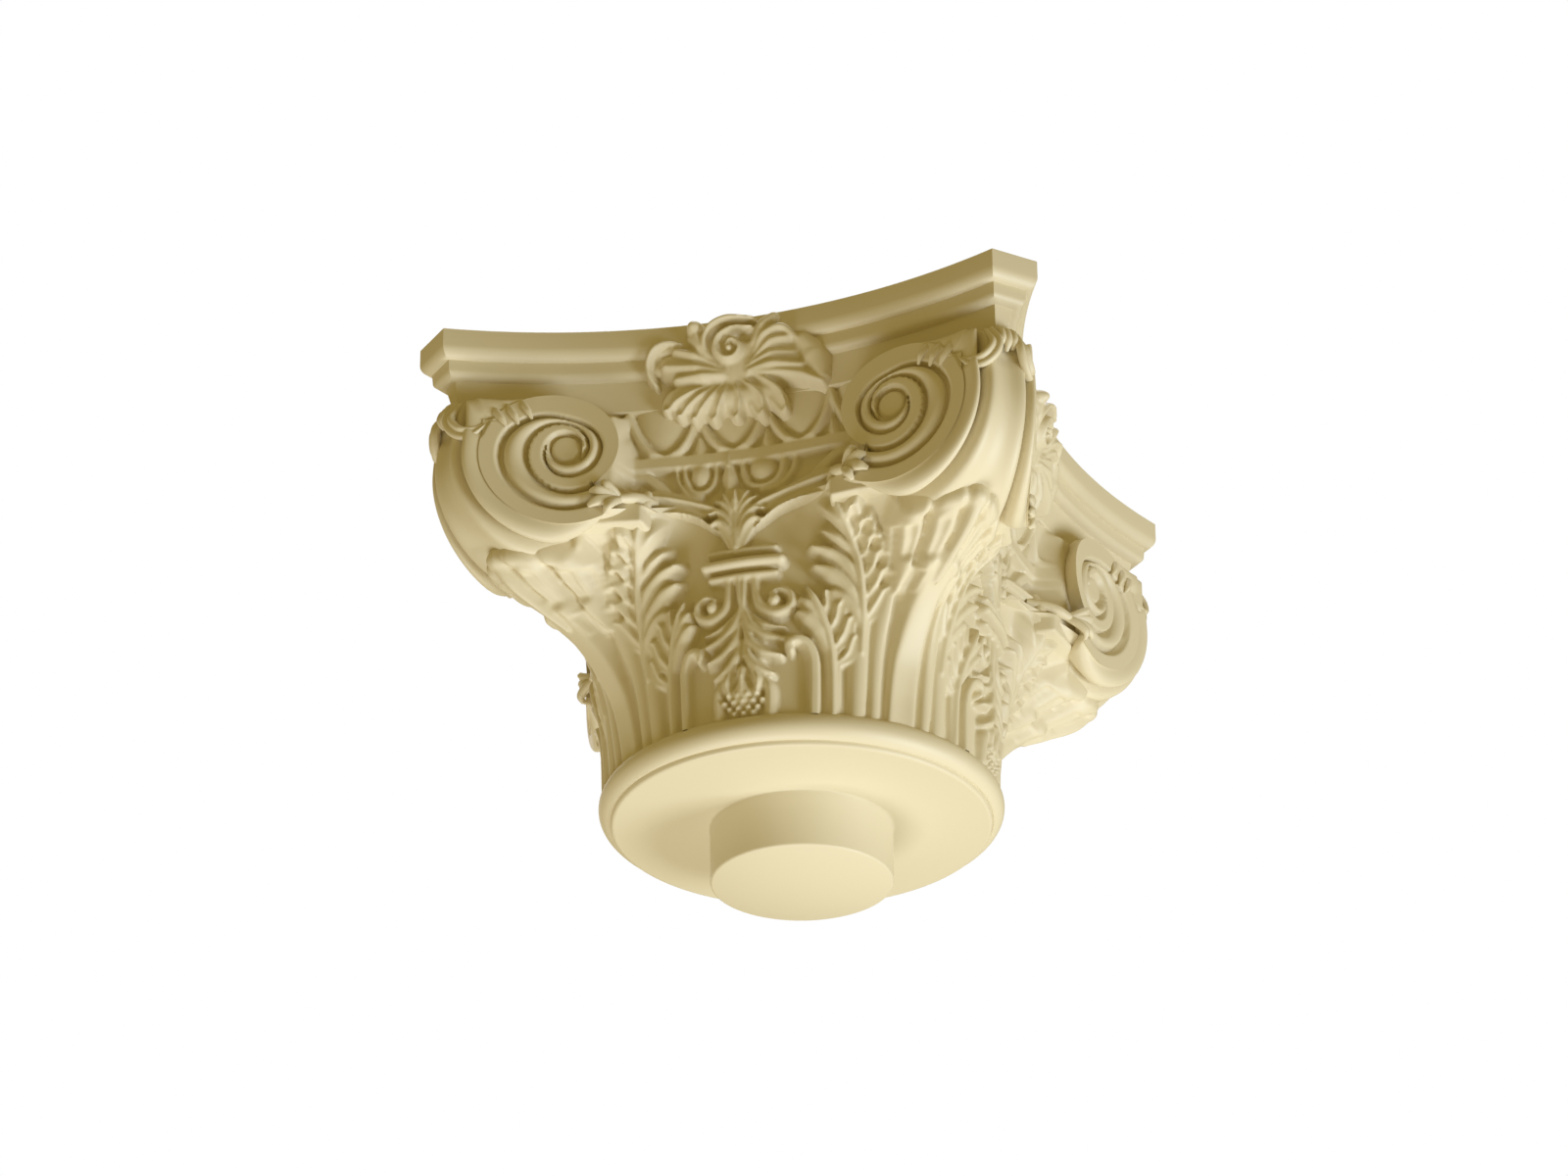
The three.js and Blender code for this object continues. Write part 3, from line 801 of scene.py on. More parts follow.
        for eye, height in ((30.4, 186.0), (32.6, 173.0), (34.7, 160.5), (36.2, 148.0)):
            carving.groove([(eye - 0.5, height - 3), (eye, height + 2)], 1.5, 4.4)
        stem = [
            (32.0, 100), (31.8, 122), (31.0, 140), (29.8, 156), (28.2, 171), (26.4, 186), (24.4, 199),
            (22.4, 210)
        ]
        tall = (6.8, 8.2, 9.8, 11.0, 11.8, 12.6, 12.6, 10.6)
        carving.stroke(stem, (3.6, 3.6, 3.4, 3.2, 3.0, 2.8, 2.4, 0.6), tall, Crown.ROUND)

    def carve_corner(self, carving: Relief) -> None:
        """Corner leaf: a hollow midrib up the diagonal, a round stem beside it, a spoon-shaped leaflet
        and lobes that stand further out as they climb and curl over below the scroll.

        Args:
            carving: Relief that is carved.
        """
        carving.stroke(
            [(36.6, 58), (36.6, 100), (36.8, 124), (37.4, 146)], (5.0, 5.2, 5.6, 4.0), (4.6, 5.2, 6.0, 6.6)
        )
        sheet = [(45, 110), (42.8, 150), (41.6, 176), (41.4, 196)]
        carving.stroke(sheet, (5, 11, 12, 9), (5.0, 6.6, 8.0, 9.0), Crown.PLATE)
        spoon = [(36.8, 136), (37.2, 152), (36.8, 168), (35.3, 184), (33.7, 199)]
        carving.stroke(
            spoon, (1.6, 4.8, 5.4, 4.6, 0.9), (6.0, 9.0, 11.0, 12.0, 11.0), Crown.HOLLOW, tilt=-0.15
        )
        carving.groove([(36.9, 146), (36.9, 162), (35.7, 180)], 1.5, 3.0)
        lobes = [
            ([(38.4, 140), (38.6, 158), (37.8, 178), (36.6, 194)], (2, 4.8, 5.8, 6.0), (7.6, 11, 14.2, 16.0)),
            ([(41.6, 142), (42.0, 162), (41.8, 182), (41.0, 199)], (2, 4.8, 6.0, 6.6), (8.6, 12, 15.6, 18)),
            ([(45, 150), (45, 172), (45, 190), (45, 203)], (3, 4.6, 5.6, 6.4), (9, 13.0, 17.0, 19.5)),
        ]
        self.leaflets(carving, lobes, Crown.ROUND, 0.12)
        lip = [(34.8, 186), (36.6, 194), (39.6, 199), (42.4, 201.5), (45, 202.5)]
        carving.stroke(lip, (3.0, 6.0, 8.0, 9.0, 9.6), (11.5, 15.5, 18.0, 19.5, 20.5), Crown.ROUND)
        carving.groove([(38.4, 166), (38.0, 176), (37.2, 186)], 2.3, 4.6)
        carving.groove([(41.9, 168), (41.7, 179), (41.3, 190)], 2.5, 4.8)
        carving.groove([(40.1, 160), (39.7, 180), (38.8, 197), (38.9, 206)], 1.2, 4.6)
        carving.groove([(43.6, 166), (43.5, 186), (43.2, 200), (43.1, 208)], 1.1, 4.2)
        midrib = [(45, 58), (45, 96), (45, 128), (45, 154), (45, 176)]
        carving.stroke(
            midrib, (11.6, 11.0, 9.6, 7.0, 3.0), (6.4, 7.4, 9.4, 11.6, 13.0), Crown.HOLLOW
        )
        carving.groove([(39.3, 58), (39.4, 100), (40.2, 130), (41.4, 156)], 1.3, 3.2)

    @staticmethod
    def leaflets(carving: Relief, rows: list[tuple[Pairs, tuple, tuple]], crown: Crown, tilt: float) -> None:
        """Cuts a row of leaflets that share a section."""
        for path, width, height in rows:
            carving.stroke(path, width, height, crown, tilt)

    def build(self, finish: "PlasterFinish") -> None:
        """Carves one quarter along the surface's normals and sets it on all four sides.

        Args:
            finish: Material of the pieces.
        """
        across = np.linspace(-45, 45, self.columns)
        up = np.linspace(self.foot, self.top, self.rows)
        carving = Relief(across + self.lean * np.exp(-((across / 17) ** 2)), up, self.stretch)
        self.carve_corner(carving)
        self.carve_main_frond(carving)
        self.carve_stems(carving)
        self.carve_pendant(carving)
        self.carve_tie(carving)
        height = soften(np.maximum(carving.height, -1.5), 1)
        bare = self.bare(across, up)
        slope = np.gradient(bare, axis=0)
        out = np.stack([slope[..., 1], -slope[..., 0]], axis=-1)
        section = bare + height[..., None] * out / np.linalg.norm(out, axis=-1, keepdims=True)
        angle = np.radians(across)
        grid = np.stack(
            [section[..., 0] * np.sin(angle), -section[..., 0] * np.cos(angle), section[..., 1]], axis=-1
        )
        # Painted shade: darker near the foot, where the bell meets the neck, and in the grooves of the
        # carving.
        low = smoothstep(64, 58, up)[:, None] * 0.35
        hollow = hollowness(height) * 0.76 - 0.16
        hollow = np.where(height < 0.8, np.minimum(hollow, self.field_hollow), hollow) + low
        shell = Shell("bell")
        shell.add_sheet(grid, np.clip(hollow, 0, 1), (0, -8, 135))
        shell.build_round(finish)


# ---- Rows of eggs, palmette and stalks -----------------------------------------------------


@dataclass
class EggBand:
    """Large eggs, fillet, small eggs, palmette and stalks under one hollow side.

    Attributes:
        half_length: Half the length that shows between the scrolls.
        foot: Height of the lowest row.
        top: Height where it goes under the abacus.
        columns: Points along it.
        rows: Points up it.
        pitch: Distance between large eggs.
        buried: Inset where nothing of the band shows.
        middle: Place of the middle large egg.
        lean: How far the palmette stands to the left.
        egg_lean: How far the small eggs and their middle leaf stand to the left.
        flank: Inset of the plain ground beside the scrolls.
        ground: Inset of the lower row's ground.
        ovolo_foot: Height where the ovolo with the large eggs starts.
        fillet_foot: Height of the fillet under it.
        fillet: Inset of the fillet.
        egg_top: Height of the large eggs' top.
        egg_size: Half width and length of a large egg.
        egg_proud: How far a large egg stands out.
        rim: Middle and half width of the rim, as shares of the egg, and how far it stands out.
        dart_top: Height of the darts' top.
    """

    half_length: float = 100.0
    foot: float = 168.0
    top: float = 271.0
    columns: int = 224
    rows: int = 120
    pitch: float = 43.4
    buried: float = 62.0
    middle: float = -6.4
    lean: float = 6.0
    egg_lean: float = 10.5
    flank: float = 11.0
    ground: float = 34.0
    ovolo_foot: float = 240.0
    fillet_foot: float = 231.0
    fillet: float = 26.5
    egg_top: float = 273.0
    egg_size: tuple[float, float] = (18.4, 30.5)
    egg_proud: float = 7.5
    rim: tuple[float, float, float] = (1.155, 0.145, 6.8)
    dart_top: float = 253.0

    def large_eggs(self, across: Array, height: Array) -> Array:
        """Ovolo with its eggs: each is a dome over e < 1, where e = (|x/a|^1.7 + |z/b|^1.8)^(1/1.75)
        from its top middle, then a groove, a raised rim up to e = 1.3 and a dart between the rims.

        Args:
            across: Places along the side.
            height: Heights.

        Returns:
            Inset from the hollow side.
        """
        near = across - self.middle
        near = near - self.pitch * np.round(near / self.pitch)
        fall = np.clip(self.egg_top - height, 0, None)
        size = (np.abs(near / self.egg_size[0]) ** 1.7 + (fall / self.egg_size[1]) ** 1.8) ** (1 / 1.75)
        egg = self.egg_proud * np.sqrt(np.clip(1 - size**2.6, 0, 1))
        middle, half, proud = self.rim
        rim = proud * np.sqrt(np.clip(1 - ((size - middle) / half) ** 2, 0, 1))
        gap = self.pitch / 2 - np.abs(near)
        dart_half = 6.0 * np.clip((self.dart_top - height) / 12, 0, 1)
        dart = 5.2 * np.clip(1 - gap / (dart_half + 1e-6), 0, 1) ** 0.6 * (height < self.dart_top)
        ground = np.interp(height, (self.ovolo_foot, self.top), (31.0, 26.0))
        return ground - np.maximum.reduce([egg, rim, dart])

    @staticmethod
    def leaning(across: Array, lean: float) -> Array:
        """Places as the carving counts them: moved by lean times exp(-(place / 46)^2)."""
        return across + lean * np.exp(-((across / 46) ** 2))

    def small_eggs(self) -> Relief:
        """Second row and its middle leaf, as height over the lower row's ground.

        Returns:
            Relief over the whole side.
        """
        across = np.linspace(-self.half_length, self.half_length, self.columns)
        up = np.linspace(self.foot, self.top, self.rows)
        carving = Relief(self.leaning(across, self.egg_lean), up)
        frame_path = [(21, 210.6), (30.4, 212.2), (37.8, 222), (39.4, 233)]
        carving.stroke(frame_path, (2.4, 2.4), (4.8, 4.8))
        ring = [(9.2, 233), (9.6, 224), (13.4, 216), (21, 213.2), (28.6, 216), (32.4, 224), (32.8, 233)]
        carving.stroke(ring, (2.8, 2.8), (5.8, 5.8))
        carving.boss((21, 226.0), (8.2, 9.8), 8.2)
        carving.stroke(
            [(0, 211), (0, 222), (0, 238.5)], (3.2, 6.2, 0.8), (6.2, 7.8, 8.6), Crown.RIDGE, mirror=False
        )
        return carving

    def carve_foliage(self, carving: Relief) -> None:
        """Centre leaf, palmette over the tie, stalks that rise to the rosettes.

        Args:
            carving: Relief that is carved.
        """
        upper = [
            (1.5, 172), (2.2, 184), (6.5, 194), (15, 200.5), (26, 204.5), (38, 208), (52, 210.5), (68, 209.5),
            (80, 205)
        ]
        lower = [(13.0, 184.5), (18.5, 189.5), (26, 195), (35, 198.3), (45, 199.6), (56, 199.4), (70, 200)]
        fill = [(9, 197), (20, 200), (34, 205), (50, 209), (66, 208), (82, 205)]
        carving.stroke(fill, (2, 5, 7.5, 9.5, 9.5, 8), (3.0, 4.0, 4.6, 5.0, 6, 9), Crown.PLATE)
        carving.stroke(lower, (1.2, 2.0, 2.2, 2.2, 2.2, 2.6, 3.0), (5.5, 6.8, 7.6, 8.0, 8.4, 10, 14))
        carving.stroke(
            upper, (1.6, 1.9, 2.2, 2.3, 2.4, 2.5, 2.6, 3.2, 3.6), (5.5, 6.4, 7.2, 7.8, 8.2, 8.6, 9.6, 13, 18)
        )
        carving.stroke(
            [(0, 174), (0, 190), (0, 205)], (7, 14.5, 10), (4.2, 5.2, 5.2), Crown.PLATE, mirror=False
        )
        leaves = [
            ([(1.6, 174), (5.5, 186), (11.5, 191), (16.6, 189.4)], (1.6, 3.5, 3.4, 1.8), (5, 7.4, 8.2, 7.6)),
            ([(1.4, 180), (4.8, 192), (11.5, 197.6), (18.4, 196.6)], (1.4, 3.4, 3.4, 1.8), (5, 7.2, 8, 7.6)),
            ([(1, 186), (3.2, 197), (8.6, 203.6), (14.4, 205.4)], (1.2, 3.3, 3.3, 1.6), (5, 7.4, 8.2, 7.6)),
            ([(0.6, 192), (2.2, 200), (6, 207.2), (8.6, 210.6)], (1, 3, 3, 1.5), (5, 7.6, 8.4, 7.6)),
        ]
        for path, width, height in leaves:
            carving.stroke(path, width, height, Crown.RIDGE, tilt=-0.2)
        carving.stroke([(0, 172), (0, 190), (0, 203)], (2.4, 1.6, 1.4), (6.5, 6.5, 7.5), mirror=False)
        carving.stroke(
            [(0, 197), (0, 204), (0, 212.5)], (1.4, 3.3, 0.8), (8.4, 9.8, 8.4), Crown.RIDGE, mirror=False
        )
        carving.stroke(
            [(47, 216), (55, 222), (63, 227.5), (76, 228.5)], (2.5, 4.2, 4.2, 4.2), (4.2, 5.2, 5.4, 5.4),
            Crown.PLATE
        )

    def build(self, finish: "PlasterFinish") -> None:
        """Works out one side as inset from the hollow and sets it on all four.

        Args:
            finish: Material of the pieces.
        """
        carving = self.small_eggs()
        places = np.linspace(-self.half_length, self.half_length, self.columns)
        carving.across = self.leaning(places, self.lean)
        self.carve_foliage(carving)
        across, level = np.meshgrid(places, carving.up)
        distance = np.abs(across)
        lunette = np.interp(
            distance, (0, 12, 20, 28, 40, 60, 80, 100), (202, 192, 196, 200, 204, 201, 186, 178)
        )
        ground = np.where(level < lunette, self.buried, self.ground)
        height = carving.height
        lower = np.where(height > 0.4, self.ground - height, ground)
        lower = np.where(level > self.fillet_foot, np.minimum(lower, self.fillet), lower)
        inset = np.where(level > self.ovolo_foot, self.large_eggs(across, level), lower)
        centre_leaf = (np.abs(across + self.egg_lean) < 7) & (height > 0.4)
        centre_leaf &= (level > 228) & (level < self.ovolo_foot)
        inset = np.where(centre_leaf, np.minimum(inset, self.ground - 1 - height), inset)
        start = 69 - 18 * smoothstep(206, 198, level)
        beside = smoothstep(0, 10, distance - start)
        beside = beside * smoothstep(180, 187, level) * smoothstep(268, 262, level)
        inset = inset + (np.minimum(inset, self.flank) - inset) * beside
        # Painted shade: darker where the band lies deeper, in the recesses between eggs, darts and foliage.
        shown = np.minimum(inset, 40)
        hollow = hollowness(-soften(shown, 1), depth=2.8) * 0.8 - 0.06
        inset = soften(inset, 1)
        grid = PLAN.on_front(across, inset, level)
        shell = Shell("egg_band")
        shell.add_sheet(grid, np.clip(hollow, 0, 1), (0, -70, 225))
        shell.build_round(finish)


# ---- Scrolls -------------------------------------------------------------------------------


@dataclass
class Scroll:
    """Corner scroll: two spiral faces and the grooved bolster that joins them.

    Attributes:
        eye_offset: Middle of a hollow side to the eye of a spiral.
        eye_height: Height of the eye.
        inset: How far the groove of the face lies behind the abacus side.
        outer: Outer edge of the ribbon at each quarter turn, starting straight down and going outwards.
        inner: Inner edge of the ribbon at each quarter turn.
        break_angle: Where the outermost turn starts, in degrees from straight down.
        core: Radius inside which the rings of points are true circles.
        core_share: Share of the rings that lie there.
        turns: Points round the face.
        face_steps: Rings of the face.
        side_steps: Rings of half the bolster.
        ribbon: How far the ribbon stands out of the face's groove.
        bead: How far the bead does.
        bead_middle: Middle of the bead as a share of the space between two ribbons.
        bead_half: Half its width as a share of that space.
        eye: Radius of the eye's disc.
        eye_proud: How far the disc stands out.
        post: Eye to the upright edge that runs from the spiral to the abacus.
        post_top: How far above the eye that edge ends.
        head_top: Height that the bolster's head reaches under the abacus.
        head_lift: The most that the head is raised over the faces' edges.
        section: Half of the bolster's section: share of the way from the diagonal to the edge, and swell.
    """

    eye_offset: float = 104.5
    eye_height: float = 235.5
    inset: float = 6.0
    outer: tuple[float, ...] = (54.5, 50.5, 36, 33, 30, 21.8, 16.2, 13, 10.4, 10, 9.8, 9.6, 9.4)
    inner: tuple[float, ...] = (44, 40, 21, 22.5, 20.8, 12, 11.2, 10.6, 10.1, 9.9, 9.7, 9.5, 9.3)
    break_angle: float = -34.0
    post: float = 49.0
    post_top: float = 19.0
    head_top: float = 269.5
    head_lift: float = 17.0
    core: float = 28.0
    core_share: float = 0.46
    turns: int = 176
    face_steps: int = 62
    side_steps: int = 36
    ribbon: float = 6.0
    bead: float = 5.4
    bead_middle: float = 0.52
    bead_half: float = 0.36
    eye: float = 9.0
    eye_proud: float = 3.4
    section: Pairs = field(
        default_factory=lambda: [
            (1.0, 0.0), (0.98, -1.3), (0.965, 0.6), (0.93, 5.0), (0.87, 8.2), (0.80, 9.2), (0.73, 7.8),
            (0.68, 4.2), (0.65, -0.8), (0.63, -1.8), (0.605, 0.4), (0.57, 6.4), (0.52, 10.2), (0.44, 11.8),
            (0.33, 11.4), (0.22, 10.2), (0.10, 9.2), (0.0, 9.0),
        ]
    )

    def edge(self, angle: Array, radii: tuple[float, ...]) -> Array:
        """Radius at an angle in degrees, by a smooth curve through the values at the quarter turns.

        Args:
            angle: Degrees from straight down, counted on past a full turn.
            radii: Radius at each quarter turn.

        Returns:
            Radius at each angle.
        """
        dense = spline([(value,) for value in radii], 400)[:, 0]
        place = np.clip(angle / 90, 0, len(radii) - 1) / (len(radii) - 1) * 399
        return np.interp(place, np.arange(400), dense)

    def proud(self, angle: Array, reach: Array) -> Array:
        """Height of the face: on each turn a flat ribbon between its two edges, then a groove, a round
        bead and another groove before the next turn's ribbon; inside them the flat disc of the eye.
        The outermost ribbon keeps its height up to the scroll's own edge.

        Args:
            angle: Degrees from straight down, from the break angle to a full turn past it.
            reach: Distance from the eye.

        Returns:
            Height over the groove in millimetres.
        """
        height = np.full_like(reach, 0.8 * self.ribbon)
        for turn in range(3):
            total = angle + 360 * turn
            start, end = self.edge(total, self.outer), self.edge(total, self.inner)
            following = self.edge(total + 360, self.outer)
            band = (reach <= start + 0.01) & (reach > end)
            middle = (reach - (start + end) / 2) / np.maximum((start - end) / 2, 0.4)
            rounded = np.abs(middle) if turn else np.maximum(-middle, 0)
            plate = self.ribbon * np.clip(1 - rounded**12, 0, 1) ** 0.5 * smoothstep(0.8, 2.4, start - end)
            height = np.where(band, plate, height)
            space = (reach <= end) & (reach > following)
            share = (end - reach) / np.maximum(end - following, 0.5)
            crest = np.sqrt(np.clip(1 - ((share - self.bead_middle) / self.bead_half) ** 2, 0, 1))
            swell = 1 + 0.25 * smoothstep(0, 9, end - following)
            height = np.where(
                space, self.bead * crest * swell * smoothstep(0.6, 2.0, end - following), height
            )
        disc = self.eye_proud * np.clip(1 - (reach / self.eye) ** 16, 0, 1) ** 0.5
        return np.where(reach < self.eye + 0.7, disc, height)

    def outline(self, angle: Array) -> Array:
        """Radius of the scroll's own edge: the outer turn with its upright post, closed by a steep ramp.

        Args:
            angle: Degrees from straight down.

        Returns:
            Radius at each angle.
        """
        turn = self.edge(angle, self.outer)
        across, up = np.sin(np.radians(angle)), -np.cos(np.radians(angle))
        upright = np.minimum(self.post / np.maximum(across, 0.05), self.post_top / np.maximum(up, 0.05))
        turn = np.where((angle > 85) & (angle < 200), np.maximum(turn, upright), turn)
        end = self.edge(angle + 360, self.outer)
        start = smoothstep(self.break_angle, self.break_angle + 7, angle)
        return end + (turn - end) * start

    def on_face(self, angle: Array, reach: Array, proud: Array | float) -> Array:
        """Points on the right-hand spiral of the front, by angle, distance from the eye and height.

        Args:
            angle: Degrees from straight down.
            reach: Distance from the eye.
            proud: Height over the groove.

        Returns:
            Points of the face.
        """
        turn = np.radians(angle)
        across = self.eye_offset + reach * np.sin(turn)
        return PLAN.on_front(across, self.inset - proud, self.eye_height - reach * np.cos(turn))

    @staticmethod
    def across_corner(points: Array) -> Array:
        """Mirror image across the diagonal of the front right corner."""
        return np.stack([-points[..., 1], -points[..., 0], points[..., 2]], axis=-1)

    def bolster(self, angle: Array, edge: Array) -> Array:
        """Half of the bolster: from the face's edge to the diagonal, a roll, a groove and a broad band
        with a shallow valley. Each ring is the edge drawn to the diagonal by a share, then swollen
        outwards where it faces out, and straight out from the axis on the upright stretch. The head is
        raised towards the abacus behind the faces' edges.

        Args:
            angle: Degrees from straight down.
            edge: Points of the face's edge.

        Returns:
            Points by ring and angle.
        """
        rings = spline(self.section, self.side_steps)
        middle = (edge + self.across_corner(edge)) / 2
        turn = np.radians(np.where(angle < 200, np.minimum(angle, 95), angle))
        outwards = np.stack(
            [np.sin(turn) / math.sqrt(2), -np.sin(turn) / math.sqrt(2), -np.cos(turn)], axis=-1
        )
        facing = smoothstep(-0.25, 0.55, np.cos(np.radians(angle - 66)))
        share, swell = rings[:, :1, None], rings[:, 1:, None]
        points = middle + (edge - middle) * share + outwards * swell * facing[None, :, None]
        head = smoothstep(85, 118, angle) * (1 - smoothstep(200, 235, angle))
        lift = np.clip(self.head_top - points[..., 2], 0, self.head_lift)
        points[..., 2] += lift * head[None, :] * smoothstep(1.0, 0.8, rings[:, :1])
        return points

    def build(self, finish: "PlasterFinish") -> None:
        """Face from its eye out, bolster, then both again mirrored, as one closed surface.

        Args:
            finish: Material of the pieces.
        """
        angle = np.linspace(self.break_angle, self.break_angle + 360, self.turns, endpoint=False)
        edge = self.outline(angle)
        share = np.linspace(0, 1, self.face_steps + 1)[1:]
        near = np.minimum(share / self.core_share, 1) * self.core
        far = np.clip((share - self.core_share) / (1 - self.core_share), 0, 1)
        reach = near[:, None] + far[:, None] * (edge - self.core)[None, :]
        turn = np.broadcast_to(angle, reach.shape)
        height = self.proud(turn, reach)
        face = self.on_face(turn, reach, height)
        side = self.bolster(angle, face[-1])[1:]
        half = np.concatenate([face, side])
        # Painted shade: darker in the face's grooves, in the bolster's groove and where the bolster meets the
        # face's edge.
        around = np.pad(height, ((0, 0), (12, 12)), mode="wrap")
        hollow = hollowness(around, reach=4, depth=2.4)[:, 12:-12] * 0.9
        ring_share = np.linspace(0, 1, len(side))
        groove = 0.95 * np.exp(-(((ring_share - 0.54) / 0.045) ** 2))
        groove = groove + 0.7 * np.exp(-((ring_share / 0.05) ** 2)) + 0.08
        hollow = np.concatenate([hollow, np.broadcast_to(groove[:, None], side.shape[:2])])
        other = self.across_corner(half[:-1])[::-1]
        grid = np.concatenate([half, other])
        shell = Shell("scroll")
        shell.add_tube(grid[:, ::-1], np.concatenate([hollow, hollow[:-1][::-1]])[:, ::-1])
        shell.build_round(finish)


def on_diagonal(out: Array | float, sideways: Array | float, height: Array | float) -> Array:
    """Points by distance along the front right diagonal, distance across it and height.

    Args:
        out: Distance from the axis along the diagonal.
        sideways: Distance across the diagonal.
        height: Height.

    Returns:
        Points with x, y and z on the last axis.
    """
    out, sideways, height = np.broadcast_arrays(
        *(np.asarray(part, float) for part in (out, sideways, height))
    )
    root = math.sqrt(0.5)
    return np.stack([(out + sideways) * root, (sideways - out) * root, height], axis=-1)


@dataclass
class Drape:
    """Small leaf that folds over each bolster's head from under the abacus, with flames on both spirals."""

    def fingers(self, shell: Shell) -> None:
        """Three finger tips in the middle of the head."""
        facing = on_diagonal(1.0, 0.0, -0.1)
        for sideways, half, tip in ((-4.3, 2.3, 257.5), (0.0, 2.6, 255.5), (4.3, 2.3, 257.5)):
            rise = np.array([271.0, 267.0, (tip + 267) / 2, tip])
            path = on_diagonal(np.array([251.0, 255.0, 256.4, 254.0]), np.full(4, sideways), rise)
            shell.add_tube(
                leaf_blade(path, facing, (half, half, half, 1.2), (3.0, 3.4, 3.2, 1.2), steps=14, sides=12)
            )

    def ears(self, shell: Shell) -> None:
        """Scooped crescent that sweeps from each face's corner down and up over the roll."""
        for side in (-1, 1):
            facing = on_diagonal(1.0, side * 0.4, -0.2)
            sweep = side * np.array([25.0, 21.5, 16.5, 11.5, 9.0, 9.8])
            out = np.array([240, 246, 252.5, 256.5, 257, 250.0])
            rise = np.array([251, 246, 245.6, 251, 258.5, 269])
            width, thick = (0.7, 3.4, 4.6, 4.8, 4.4, 3.6), (1.2, 3.4, 4.4, 4.6, 4.4, 3.6)
            path = on_diagonal(out, sweep, rise)
            shell.add_tube(leaf_blade(path, facing, width, thick, dip=0.5, steps=28, sides=20))

    def flames(self, shell: Shell) -> None:
        """Three small tips that lick over the top of each spiral, lying on its face."""
        strokes = [
            ([(148.5, 7, 263), (146, 1.5, 260), (141.5, -0.8, 254), (139, -0.4, 249)], 2.7),
            ([(140.5, 7, 266), (138, 1.5, 262.5), (134, -0.8, 256.5), (132, -0.4, 251)], 2.7),
            ([(131.5, 7, 268.5), (129.5, 1.5, 265.5), (126, -0.8, 260), (124, 0.0, 255)], 2.4),
        ]
        for path, half in strokes:
            points = np.array([PLAN.on_front(u, d, z) for u, d, z in path])
            blade = leaf_blade(
                points, (0.25, -1, -0.1), (half * 0.8, half, half * 0.85, 0.8), (2.6, 3.2, 2.8, 0.9),
                dip=0.15, steps=16, sides=12,
            )
            shell.add_tube(blade)
            shell.add_tube(Scroll.across_corner(blade)[:, ::-1])

    def build(self, finish: "PlasterFinish") -> None:
        """Gathers the drape of one corner and sets it on all four.

        Args:
            finish: Material of the pieces.
        """
        shell = Shell("drape")
        self.fingers(shell)
        self.ears(shell)
        self.flames(shell)
        shell.build_round(finish)


